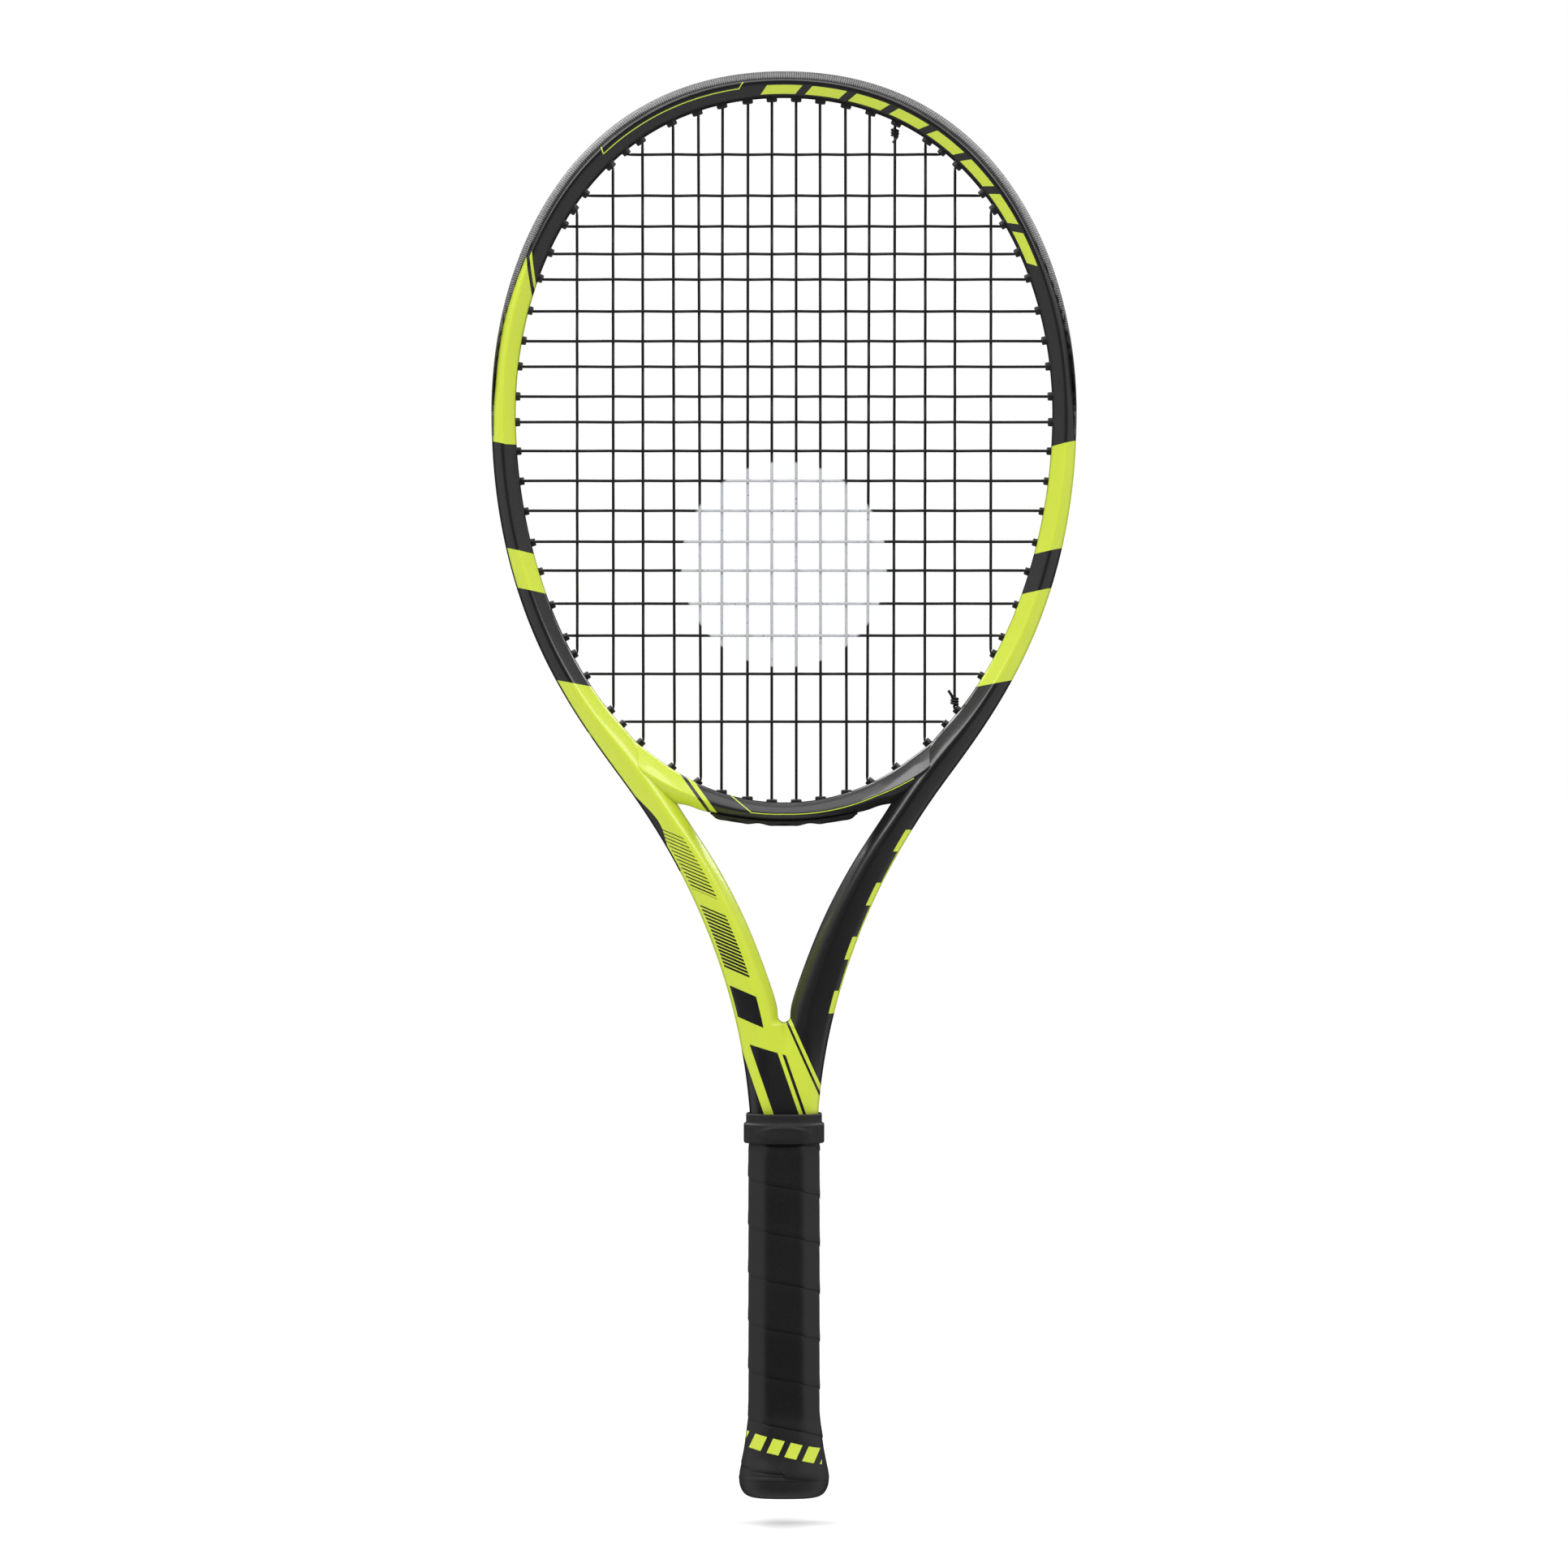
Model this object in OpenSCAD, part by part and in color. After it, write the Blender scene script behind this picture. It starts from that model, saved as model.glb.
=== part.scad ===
// Junior tennis racket, 26 inches long, strung 16 by 19.
// Frame: X across the head, Y through the string bed (the face looks along -Y), Z from butt to tip.
// Origin: centre of the butt end.

/* [Head and throat] */
// Overall length, butt to tip
racket_length = 660.4; // [659:0.1:662]
// Half of the head's outer width
head_half_width = 135.6; // [135:0.1:136.2]
// In-plane width of the hoop at its sides
hoop_width = 11; // [10.8:0.1:11.2]
// Wall of the moulded tube
wall = 1.3; // [1.1:0.1:1.5]
// Height of the throat bridge's lower face at the centre
bridge_bottom = 313; // [312:0.1:313.5]

/* [Strings and grommets] */
// String diameter
string_d = 1.3; // [1.2:0.05:1.3]
// Outer diameter of a grommet barrel
barrel_d = 3.6; // [3.4:0.1:3.8]
// How far a barrel stands proud inside the hoop
barrel_proud = 2.2; // [2:0.1:2.4]
// How far the crosses rise and dip as they weave
weave = 1.4; // [1.38:0.01:1.5]

/* [Handle] */
// Width of the gripped handle, side to side
grip_width = 33.1; // [33:0.1:33.2]
// Depth of the gripped handle, front to back
grip_depth = 30.5; // [30.4:0.1:30.6]
// Thickness of the grip
grip_thickness = 1.8; // [1.7:0.1:1.8]
// Height of the upper end of the foam
foam_top = 172; // [171.5:0.1:172]
// Height of the lower edge of the rubber collar
collar_bottom = 164; // [163.8:0.1:164.2]

/* [Hidden] */
$fn = 32;

lime = [0.76, 0.90, 0.13];
black = [0.10, 0.10, 0.11];
steel = [0.75, 0.75, 0.77];
foam_grey = [0.45, 0.45, 0.43];

// ---------------------------------------------------------------- outlines
// Each outline is a chain of cubic Bezier stretches in the XZ plane, for the +X side.
// A place on an outline is a number whose whole part picks the stretch.
function unit(v) = v / norm(v);
function heading(angle) = [-sin(angle), -cos(angle)];
function bezier(p, t) =
    pow(1 - t, 3) * p[0] + 3 * pow(1 - t, 2) * t * p[1] + 3 * (1 - t) * t * t * p[2] + pow(t, 3) * p[3];
function slope(p, t) =
    pow(1 - t, 2) * (p[1] - p[0]) + 2 * (1 - t) * t * (p[2] - p[1]) + t * t * (p[3] - p[2]);
function point(chain, t) = let(i = min(floor(t), len(chain) - 1)) bezier(chain[i], t - i);
function travel(chain, t) = let(i = min(floor(t), len(chain) - 1)) unit(slope(chain[i], t - i));
function inward(chain, t) = let(d = travel(chain, t)) [d[1], -d[0]];

tip = [0, racket_length];
side = [head_half_width, 502.5];
bend = [70, 325];
bend_heading = heading(35.2);
neck = [15.8, 176.2];
neck_heading = heading(3.8);
outer = [
    [tip, tip + [97, 0], side + [0, 74], side],
    [side, side - [0, 98.3], bend - 38 * bend_heading, bend],
    [bend, bend + 57.5 * bend_heading, neck - 50.8 * neck_heading, neck]
];
opening_top = tip - [0, hoop_width + 0.6];
opening_side = side - [hoop_width, 0];
opening_bottom = [0, bridge_bottom + 8.6];
opening = [
    [opening_top, opening_top + [88, 0], opening_side + [0, 67.5], opening_side],
    [opening_side, opening_side - [0, 87.9], opening_bottom + [78.2, 0], opening_bottom]
];

// The place between a and b where the outline's coordinate along an axis is the goal.
function find(chain, axis, goal, a, b, n = 16) =
    let(m = (a + b) / 2, rising = point(chain, b)[axis] > point(chain, a)[axis])
    n == 0 ? m
    : (point(chain, m)[axis] < goal) == rising ? find(chain, axis, goal, m, b, n - 1)
    : find(chain, axis, goal, a, m, n - 1);

// ---------------------------------------------------------------- swept bars
function flat(rings) = [for (r = rings) each r];
function skin(rows, n, base, turned) = [
    for (i = [0:rows - 2], j = [0:n - 1])
        let(a = base + i * n + j, b = base + i * n + (j + 1) % n)
        turned ? [a + n, b + n, b, a] : [a, b, b + n, a + n]
];
module bar(rings) {
    n = len(rings[0]);
    last = (len(rings) - 1) * n;
    polyhedron(flat(rings), concat(
        skin(len(rings), n, 0, false), [[for (j = [n - 1:-1:0]) j]], [[for (j = [0:n - 1]) last + j]]),
        convexity = 10);
}
module hollow_bar(rings, bores) {
    n = len(rings[0]);
    inner = len(rings) * n;
    last = inner - n;
    polyhedron(concat(flat(rings), flat(bores)), concat(
        skin(len(rings), n, 0, false), skin(len(rings), n, inner, true),
        [for (j = [0:n - 1]) let(k = (j + 1) % n) [k, j, inner + j, inner + k]],
        [for (j = [0:n - 1]) let(k = (j + 1) % n) [last + j, last + k, inner + last + k, inner + last + j]]),
        convexity = 10);
}

// A round strand along a path, mitred at each bend.
string_sides = 8;
function slide(q, to, along, face) = q + along * (((to - q) * face) / (along * face));
function strand(path) =
    let(
        n = len(path) - 1,
        ways = [for (i = [0:n - 1]) unit(path[i + 1] - path[i])],
        a = unit(cross(ways[0], abs(ways[0][1]) > 0.9 ? [0, 0, 1] : [0, 1, 0])),
        b = cross(ways[0], a),
        first = [for (j = [0:string_sides - 1]) let(w = 360 * (j + 0.5) / string_sides)
            path[0] + (a * cos(w) - b * sin(w)) * string_d / 2]
    )
    [for (i = 0, r = first; i <= n; i = i + 1,
        cut = i < n ? unit(ways[i - 1] + ways[i]) : ways[n - 1],
        r = i > n ? r : [for (q = r) slide(q, path[i], ways[i - 1], cut)])
        r];

function mirror_rings(rings) = [for (i = [len(rings) - 1:-1:0]) [for (p = rings[i]) [-p[0], p[1], p[2]]]];
function mirror_path(path) = [for (p = path) [-p[0], p[1], p[2]]];
function joined(rings) = concat([for (i = [0:len(rings) - 2]) mirror_rings(rings)[i]], rings);

// ---------------------------------------------------------------- tube sections
seam = 0.2;              // half of the gap between the two legs
leg_width = 11.8;        // each leg inside the foam
leg_half_depth = 9.2;
leg_bottom = 14;
groove_depth = 2.6;
groove_half_width = 2.3; // at the floor
lip_half_width = 2.9;    // at the mouth of the groove
bumper_thickness = 1.4;
bumper_end = 1.05;       // places on the outer outline
strip_end = 2.25;

// By height: what the tube's in-plane width adds to hoop_width, and half of its depth.
extra_widths = [
    [172, 9.5], [214, 10], [240, 8.2], [264, 7], [289, 5.2], [301, 4], [313, 3.5], [325, 4.3], [342, 4.85],
    [352, 3.2], [363, 2.2], [388, 1.3], [420, 1], [457, 0.5], [502, 0], [540, 0.2], [576, 0.6], [623, 1.1],
    [640, 1.1], [660, 0.6]
];
half_depths = [[172, 11], [230, 11.8], [330, 12.2], [480, 12], [640, 11.5]];

function smooth(a, b, x) = let(t = max(0, min(1, (x - a) / (b - a)))) t * t * (3 - 2 * t);
function recess(t) = bumper_thickness * (1 - smooth(bumper_end - 0.12, bumper_end, t));
function groove(t) = groove_depth * (1 - smooth(strip_end, strip_end + 0.12, t));
// The width stops at the seam, where the legs run side by side.
function width_at(t) =
    let(p = point(outer, t), n = inward(outer, t))
    min(hoop_width + lookup(p[1], extra_widths), n[0] < -0.5 ? (p[0] - seam) / -n[0] : 99);
function half_depth_at(t) = lookup(point(outer, t)[1], half_depths);

// Half of a closed section: [depth inward from the silhouette, offset front to back].
function tube_section(w, h, g, r) = [
    [r + g, groove_half_width], [r, lip_half_width], [r + 0.1 * w, 0.55 * h], [0.4 * w, h],
    [0.6 * w, 0.97 * h], [0.9 * w, 0.55 * h], [w, 0.2 * h]
];
function thinner(half, w, floor_at) = let(c = [0.55 * w, 0]) [
    for (p = half) let(q = c + (p - c) * (1 - wall / norm(p - c))) [max(q[0], floor_at), q[1]]
];
function closed(half) = concat(half, [for (i = [len(half) - 1:-1:0]) [half[i][0], -half[i][1]]]);
function ring(origin, normal, half) =
    [for (p = closed(half)) [origin[0] + normal[0] * p[0], p[1], origin[1] + normal[1] * p[0]]];

function span(a, b, n) = [for (i = [0:n]) a + (b - a) * i / n];
tube_places = concat(span(0, 15 / 16, 15), span(1, 1.95, 19), span(2, 3, 12));
leg_section = tube_section(leg_width, leg_half_depth, 0, 0);
leg_bore_section = thinner(leg_section, leg_width, wall);
leg_heights = [foam_top + 0.4, leg_bottom];

function tube_half(t) = tube_section(width_at(t), half_depth_at(t), groove(t), recess(t));
function tube_ring(t) = ring(point(outer, t), inward(outer, t), tube_half(t));
function tube_bore(t) = ring(point(outer, t), inward(outer, t),
    thinner(tube_half(t), width_at(t), groove(t) + recess(t) + wall));
function leg_ring(z, half) = ring([leg_width + seam, z], [-1, 0], half);

tube_rings = concat(
    [for (t = tube_places) tube_ring(t)], [for (z = leg_heights) leg_ring(z, leg_section)]);
tube_bores = concat(
    [for (t = tube_places) tube_bore(t)], [for (z = leg_heights) leg_ring(z, leg_bore_section)]);

// ---------------------------------------------------------------- string pattern
// From the centre outwards, and from the tip down.
mains = [5.7, 17, 29, 40.5, 52.5, 67, 81, 98];
crosses = [
    624, 604.5, 590, 577, 565, 550, 536, 524, 510, 498, 484.5, 470.5, 456.5, 442, 428.5, 413, 398, 380, 357.5
];
bridge_mains = 3;        // mains on each side that pass through the bridge
shoulder_leans = [[40.5, 27], [52.5, 13], [67, 4], [81, 0]];
base_thickness = 0.95;   // of a grommet strip on the groove's floor
bridge_barrel_d = 4.8;
bridge_barrel_proud = 1.4;
least_way = 4;           // bounds of a hole's length
most_way = 60;
before_mouth = 4;        // a drill starts this far inside the opening
past_floor = 2;          // and ends this far past the groove's floor
lane = 1.36;             // offset of a strand that passes beside another
bottom_tie = 6;          // the mains on the +X side beside which the string is tied off
top_tie = 4;

// The way from a point to the silhouette along a direction, between a and b.
function outside(p) = p[0] > point(outer, find(outer, 1, p[1], 0, 3))[0];
function way_out(p, d, a, b, n = 14) =
    let(m = (a + b) / 2)
    n == 0 ? m
    : outside(p + d * m) ? way_out(p, d, a, m, n - 1)
    : way_out(p, d, m, b, n - 1);
function turned(d, angle) = [d[0] * cos(angle) - d[1] * sin(angle), d[0] * sin(angle) + d[1] * cos(angle)];

// A hole: [mouth in the opening, direction outwards, way to the groove's floor, place on the outline].
function hoop_hole(t, lean = 0) =
    let(
        q = point(opening, t),
        d = turned(-inward(opening, t), lean),
        s = way_out(q, d, least_way, most_way),
        place = find(outer, 1, (q + d * s)[1], 0, 3),
        slant = -inward(outer, place) * d
    )
    [q, d, s - (recess(place) + groove(place)) / slant, place];
function bridge_low(x) = bridge_bottom + 6 * pow(x / 42, 2);
function bridge_hole(x) =
    let(q = point(opening, find(opening, 0, x, 1, 2))) [q, [0, -1], q[1] - bridge_low(x), 0];

top_holes = [for (x = mains) hoop_hole(find(opening, 0, x, 0, 1))];
bottom_holes = [for (i = [0:len(mains) - 1])
    i < bridge_mains ? bridge_hole(mains[i])
    : hoop_hole(find(opening, 0, mains[i], 1, 2), lookup(mains[i], shoulder_leans))];
cross_holes = [for (z = crosses) hoop_hole(find(opening, 1, z, 0, 2))];

function in_3d(p, y = 0) = [p[0], y, p[1]];
function mouth(h, proud) = in_3d(h[0] - h[1] * proud);
function floor_point(h, above, y = 0) = in_3d(h[0] + h[1] * (h[2] + above), y);

// A straight cylinder along a hole, from one distance past its mouth to another.
module along_hole(h, from, to, d, y = 0) {
    translate(in_3d(h[0], y)) rotate([0, atan2(h[1][0], h[1][1]), 0])
        translate([0, 0, from]) cylinder(d = d, h = to - from);
}
module both_sides() {
    children();
    mirror([1, 0, 0]) children();
}

// A place on the outer outline is negative on the -X side.
function flip(p, t) = t < 0 ? [-p[0], p[1]] : p;
function sided(h, right) = right ? h : [flip(h[0], -1), flip(h[1], -1), h[2], -h[3]];

// ---------------------------------------------------------------- frame
hole_clearance = 0.4;
bottom_hoop_holes = [for (i = [bridge_mains:len(mains) - 1]) bottom_holes[i]];

module drilled(holes, d) {
    for (h = holes) along_hole(h, -before_mouth, h[2] + past_floor, d);
}
module tie_hole(h, d) {
    along_hole(h, -before_mouth, h[2] + past_floor, d, lane / 2);
}
module frame_tube() {
    color(lime) difference() {
        hollow_bar(joined(tube_rings), joined(tube_bores));
        both_sides() drilled(concat(top_holes, bottom_hoop_holes, cross_holes), barrel_d + hole_clearance);
        tie_hole(bottom_holes[bottom_tie], barrel_d + hole_clearance);
        tie_hole(top_holes[top_tie], barrel_d + hole_clearance);
    }
}

// The bridge closes the opening between the arms and is fitted to them at both ends.
bridge_half_depth = 10.6;
bridge_widths = [[0, 8.6], [34, 9.1], [40, 10.2], [44, 13.5], [49, 15], [60, 13], [76, 10]];
bridge_places = [for (x = [76, 68, 60, 54, 49, 46, 43, 40, 34, 23, 12, 0]) find(opening, 0, x, 1, 2)];

function bridge_half(w) = [
    [0, 4.4], [0.12 * w, 0.62 * bridge_half_depth], [0.4 * w, bridge_half_depth],
    [0.6 * w, 0.97 * bridge_half_depth], [0.9 * w, 0.6 * bridge_half_depth], [w, 0.3 * bridge_half_depth]
];
function bridge_ring(t, inside) =
    let(q = point(opening, t), n = inward(opening, t), w = lookup(q[0], bridge_widths))
    ring(q - n * w, n, inside ? thinner(bridge_half(w), w, wall) : bridge_half(w));
function bridge_rings(inside) = let(half = [for (t = bridge_places) bridge_ring(t, inside)])
    concat(half, [for (i = [len(half) - 2:-1:0]) mirror_rings([half[i]])[0]]);

arm_from = 1.6;          // places on the outer outline between which the bridge meets the arm
arm_to = 2.5;
module arm_envelope() {
    bar([for (t = tube_places) if (t > arm_from && t < arm_to) tube_ring(t)]);
}
module throat_bridge() {
    color(black) difference() {
        hollow_bar(bridge_rings(false), bridge_rings(true));
        both_sides() {
            arm_envelope();
            drilled([for (i = [0:bridge_mains - 1]) bottom_holes[i]], bridge_barrel_d + hole_clearance);
            drilled(bottom_hoop_holes, barrel_d + hole_clearance);
        }
    }
}

// ---------------------------------------------------------------- bumper and grommet strips
fit = 0.03;              // between a strip and the groove it lies in
channel = [1.95, 2.35];  // half widths of a strip's channel, at its floor and its mouth
bore_d = string_d + 0.4;

function bumper_half(t) =
    let(w = width_at(t), h = half_depth_at(t), r = recess(t), g = r + groove(t))
    [
        [g - base_thickness, channel[0]], [0.3 * r, channel[1]], [0, lip_half_width + 0.4],
        [0.1 * w + r - 0.65, 0.55 * h + 0.1], [0.1 * w + r - fit, 0.55 * h],
        [r - fit, lip_half_width - fit], [g - fit, groove_half_width - fit]
    ];
function strip_half(t) =
    let(g = groove(t))
    [
        [g - base_thickness, channel[0]], [fit, channel[1]],
        [fit, lip_half_width - fit], [g - fit, groove_half_width - fit]
    ];
bumper_places = [for (t = tube_places) if (t < bumper_end - 0.01) t];
bumper_rings = [for (t = concat(bumper_places, [bumper_end - 0.012]))
    ring(point(outer, t), inward(outer, t), bumper_half(t))];
strip_rings = [for (t = tube_places) if (t > bumper_end - 0.01 && t < strip_end + 0.01)
    ring(point(outer, t), inward(outer, t), strip_half(t))];

throat_strip_half_length = 34;
throat_strip_depth = 2.4;
throat_strip_half = [
    [fit, 3.6], [throat_strip_depth, 2.9], [throat_strip_depth, channel[1]], [base_thickness, channel[0]]
];
throat_strip_rings = [for (x = span(-throat_strip_half_length, throat_strip_half_length, 12))
    ring([x, bridge_low(x)], [0, -1], throat_strip_half)];

module barrels(holes, d, proud) {
    for (h = holes) along_hole(h, -proud, h[2] + base_thickness / 3, d);
}
module bores(holes) {
    for (h = holes) along_hole(h, -before_mouth, h[2] + groove_depth, bore_d);
}
// Where the string is tied off, the barrel carries two strands side by side.
module tie_barrel(h) {
    along_hole(h, -barrel_proud, h[2] + base_thickness / 3, barrel_d, lane / 2);
}
module tie_bore(h) {
    along_hole(h, -before_mouth, h[2] + groove_depth, bore_d, lane);
}
bumper_crosses = [for (h = cross_holes) if (h[3] < bumper_end) h];
strip_holes = concat([for (h = cross_holes) if (h[3] > bumper_end) h], bottom_hoop_holes);

module bumper_guard() {
    color(black) difference() {
        union() {
            bar(joined(bumper_rings));
            both_sides() barrels(concat(top_holes, bumper_crosses), barrel_d, barrel_proud);
            tie_barrel(top_holes[top_tie]);
        }
        both_sides() bores(concat(top_holes, bumper_crosses));
        tie_bore(top_holes[top_tie]);
    }
}
module grommet_strip_right() {
    color(black) difference() {
        union() {
            bar(strip_rings);
            barrels(strip_holes, barrel_d, barrel_proud);
            tie_barrel(bottom_holes[bottom_tie]);
        }
        bores(strip_holes);
        tie_bore(bottom_holes[bottom_tie]);
    }
}
module grommet_strip_left() {
    color(black) mirror([1, 0, 0]) difference() {
        union() {
            bar(strip_rings);
            barrels(strip_holes, barrel_d, barrel_proud);
        }
        bores(strip_holes);
    }
}
module throat_grommet_strip() {
    holes = [for (i = [0:bridge_mains - 1]) bottom_holes[i]];
    color(black) difference() {
        union() {
            bar(throat_strip_rings);
            both_sides() barrels(holes, bridge_barrel_d, bridge_barrel_proud);
        }
        both_sides() bores(holes);
    }
}

// ---------------------------------------------------------------- strings
string_r = string_d / 2;
end_depth = base_thickness - 0.4;        // a string's end lies just inside its bore
run_gap = 0.05;
run_height = base_thickness + string_r + run_gap;  // centre of a strand that lies along a strip's base
mouth_gap = 0.2;

function string_end(h, y = 0) = floor_point(h, end_depth, y);
function run_start(h, y = 0) = floor_point(h, run_height, y);
function bottom_mouth(i) =
    mouth(bottom_holes[i], (i < bridge_mains ? bridge_barrel_proud : barrel_proud) + mouth_gap);
function top_mouth(i) = mouth(top_holes[i], barrel_proud + mouth_gap);
function main_path(i) =
    [string_end(top_holes[i]), top_mouth(i), bottom_mouth(i), string_end(bottom_holes[i])];

module main_strings() {
    color(black) both_sides() for (i = [0:len(mains) - 1]) bar(strand(main_path(i)));
}

// Where the mains stand at a height, from left to right.
function main_x(i, z) =
    let(a = top_mouth(i), b = bottom_mouth(i)) a[0] + (b[0] - a[0]) * (z - a[2]) / (b[2] - a[2]);
function mains_at(z) =
    let(x = [for (i = [0:len(mains) - 1]) main_x(i, z)])
    concat([for (i = [len(x) - 1:-1:0]) -x[i]], x);
clear_of_mouth = 2.5;
function cross_path(k) =
    let(h = cross_holes[k], m = mouth(h, barrel_proud + mouth_gap), x = mains_at(m[2]))
    concat(
        mirror_path([string_end(h), m]),
        [for (n = [0:len(x) - 1]) if (abs(x[n]) < m[0] - clear_of_mouth)
            [x[n], weave * ((n + k) % 2 == 0 ? 1 : -1), m[2]]],
        [m, string_end(h)]
    );
module cross_strings() {
    color(black) for (k = [0:len(crosses) - 1]) bar(strand(cross_path(k)));
}

// Outside the hoop each strand turns along the groove to the next hole, in a lane of its own
// where it passes a hole on the way.
lane_shift = 4;
function groove_point(t, y) =
    let(a = abs(t), q = point(outer, a) + inward(outer, a) * (recess(a) + groove(a) - run_height))
    in_3d(flip(q, t), y);
function mix(a, b, f) = a + (b - a) * f;
function run_point(a, b, y, f) =
    let(x = mix(a[0][0], b[0][0], f))
    a[3] == 0 ? in_3d([x, bridge_low(x) - run_height]) : groove_point(mix(a[3], b[3], f), y);
function turn_path(a, b, y = 0, end_y = 0) =
    let(
        f = lane_shift / norm(run_start(b) - run_start(a)),
        stops = y == 0 ? [0.25, 0.5, 0.75]
            : end_y == 0 ? [f, 0.35, 0.5, 0.65, 1 - f]
            : [f, 0.3, 0.5, 0.7, 0.85]
    )
    concat(
        [string_end(a), run_start(a)],
        [for (s = stops) run_point(a, b, y, s)],
        [run_start(b, end_y), string_end(b, end_y)]
    );
last_main = len(mains) - 1;
last_cross = len(crosses) - 1;

function top(i, right) = sided(top_holes[i], right);
function bottom(i, right) = sided(bottom_holes[i], right);
function crossing(k, right) = sided(cross_holes[k], right);
plain_turns = concat(
    [turn_path(bottom(0, false), bottom(0, true))],
    [for (right = [false, true], i = [0, 2, 4]) turn_path(top(i, right), top(i + 1, right))],
    [for (right = [false, true], i = [1, 3]) turn_path(bottom(i, right), bottom(i + 1, right))],
    [for (k = [4:2:last_cross - 2]) turn_path(crossing(k, true), crossing(k - 1, true))],
    [for (k = [3:2:last_cross - 3]) turn_path(crossing(k, false), crossing(k - 1, false))]
);
lane_turns = concat(
    [for (right = [false, true]) turn_path(top(last_main - 1, right), top(last_main, right), -lane)],
    [for (right = [false, true])
        turn_path(bottom(last_main - 2, right), bottom(last_main - 1, right), right ? lane : -lane)],
    [turn_path(crossing(last_cross, true), crossing(last_cross - 1, true), -lane)],
    [turn_path(crossing(last_cross - 1, false), crossing(last_cross - 2, false), -lane)],
    [turn_path(crossing(2, true), crossing(1, true), lane)],
    [turn_path(crossing(1, false), crossing(0, false), lane)],
    [turn_path(bottom(last_main, false), crossing(last_cross, false), lane)],
    [turn_path(bottom(last_main, true), bottom(bottom_tie, true), lane, lane)],
    [turn_path(crossing(0, true), top(top_tie, true), lane, lane)]
);
module string_turns() {
    color(black) for (path = concat(plain_turns, lane_turns)) bar(strand(path));
}

// A tied end comes back through the tie hole and is knotted round the main string beside it.
knot_distance = 2.4;
knot_pitch = 1.15;
tail_length = 7;
tail_lean = 35;
module knot(h, up) {
    m = mouth(h, barrel_proud + mouth_gap);
    at = m + [0, 0, up * knot_distance];
    bar(strand([string_end(h, lane), m + [0, lane, 0], at + [0, lane, 0]]));
    for (i = [0, 1])
        translate(at + [0, 0, up * knot_pitch * i]) rotate_extrude() translate([lane, 0]) circle(string_r);
    translate(at + [0, -lane, up * knot_pitch]) rotate([tail_lean, up > 0 ? 0 : 180, 0])
        cylinder(d = string_d, h = tail_length);
}
module string_knots() {
    color(black) {
        knot(bottom_holes[bottom_tie], 1);
        knot(top_holes[top_tie], -1);
    }
}

// ---------------------------------------------------------------- handle
// Every handle section is an octagon, a little wider than deep.
bevel_share = 0.239;     // of the width
function octagon(w, d, bevel) = [
    [w / 2, bevel - d / 2], [w / 2, d / 2 - bevel], [w / 2 - bevel, d / 2], [bevel - w / 2, d / 2],
    [-w / 2, d / 2 - bevel], [-w / 2, bevel - d / 2], [bevel - w / 2, -d / 2], [w / 2 - bevel, -d / 2]
];
function handle_outline(w) = octagon(w, w - grip_width + grip_depth, bevel_share * w);
// Levels are listed from the top down, as [height, width].
function levels(list) = [for (l = list) [for (p = handle_outline(l[1])) [p[0], p[1], l[0]]]];
module prism(outline, from, to) {
    translate([0, 0, from]) linear_extrude(to - from) polygon(outline);
}

foam_width = grip_width - 2 * grip_thickness;
foam_bottom = 4.2;
cap_top = 38;
cap_inside = 27.2;       // width of the foam inside the butt cap
rim_top = 10.5;          // top of the cap's bare rim
flare = [[cap_top, 33], [29, 35.4], [20, 37.6], [rim_top, 41.8]];  // over the grip
sleeve_gap = 0.05;
pocket = [18, 13];       // the space above the trap door
pocket_top = leg_bottom;

leg_centre = [0.55 * leg_width, 0];
leg_channel = [for (p = closed(leg_section))
    let(q = leg_centre + (p - leg_centre) * (1 + sleeve_gap / norm(p - leg_centre)))
    [leg_width + seam - q[0], q[1]]];
seam_width = 2 * seam + 0.4;
seam_depth = 0.35 * leg_half_depth;

module handle_foam() {
    color(foam_grey) difference() {
        union() {
            prism(handle_outline(foam_width), cap_top, foam_top);
            prism(handle_outline(cap_inside), foam_bottom, cap_top);
        }
        both_sides() prism(leg_channel, leg_bottom - 1, foam_top + 1);
        prism(octagon(seam_width, seam_depth, 0.1), leg_bottom - 1, foam_top + 1);
        prism(octagon(pocket[0], pocket[1], 2), foam_bottom - 1, pocket_top);
        cap_staple_set(staple_play);
    }
}

// Flat-wire staple: a crown across X and two legs driven towards the handle's axis.
staple_crown = [7, 0.6, 1.2];
staple_leg_thickness = 0.6;
staple_play = 0.04;
staple_way_in = 4;       // a staple's slot is open outwards this far
module staple(face_y, leg_length, play = 0) {
    half = staple_crown[0] / 2;
    open_by = play > 0 ? staple_way_in : 0;
    translate([0, face_y, 0]) {
        translate([-half - play, -staple_crown[1] - play, -staple_crown[2] / 2 - play])
            cube([2 * (half + play), staple_crown[1] + open_by + play, staple_crown[2] + 2 * play]);
        for (x = [-half, half - staple_leg_thickness])
            translate([x - play, -leg_length - play, -staple_crown[2] / 2 - play])
                cube([staple_leg_thickness + 2 * play, leg_length + play, staple_crown[2] + 2 * play]);
    }
}
cap_staple_z = 33;
cap_staple_x = 4.2;
cap_staple_y = 13.8;
module cap_staple_set(play = 0) {
    for (turn = [0, 180], x = [-cap_staple_x, cap_staple_x])
        rotate([0, 0, turn]) translate([x, 0, cap_staple_z]) staple(cap_staple_y, 3.6, play);
}
grip_staple_z = 24;
grip_staple_y = 16.4;
module grip_staple_at(play = 0) {
    translate([0, 0, grip_staple_z]) staple(grip_staple_y, 3, play);
}
module butt_cap_staples() {
    color(steel) cap_staple_set();
}
module grip_staple() {
    color(steel) grip_staple_at();
}

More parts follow.
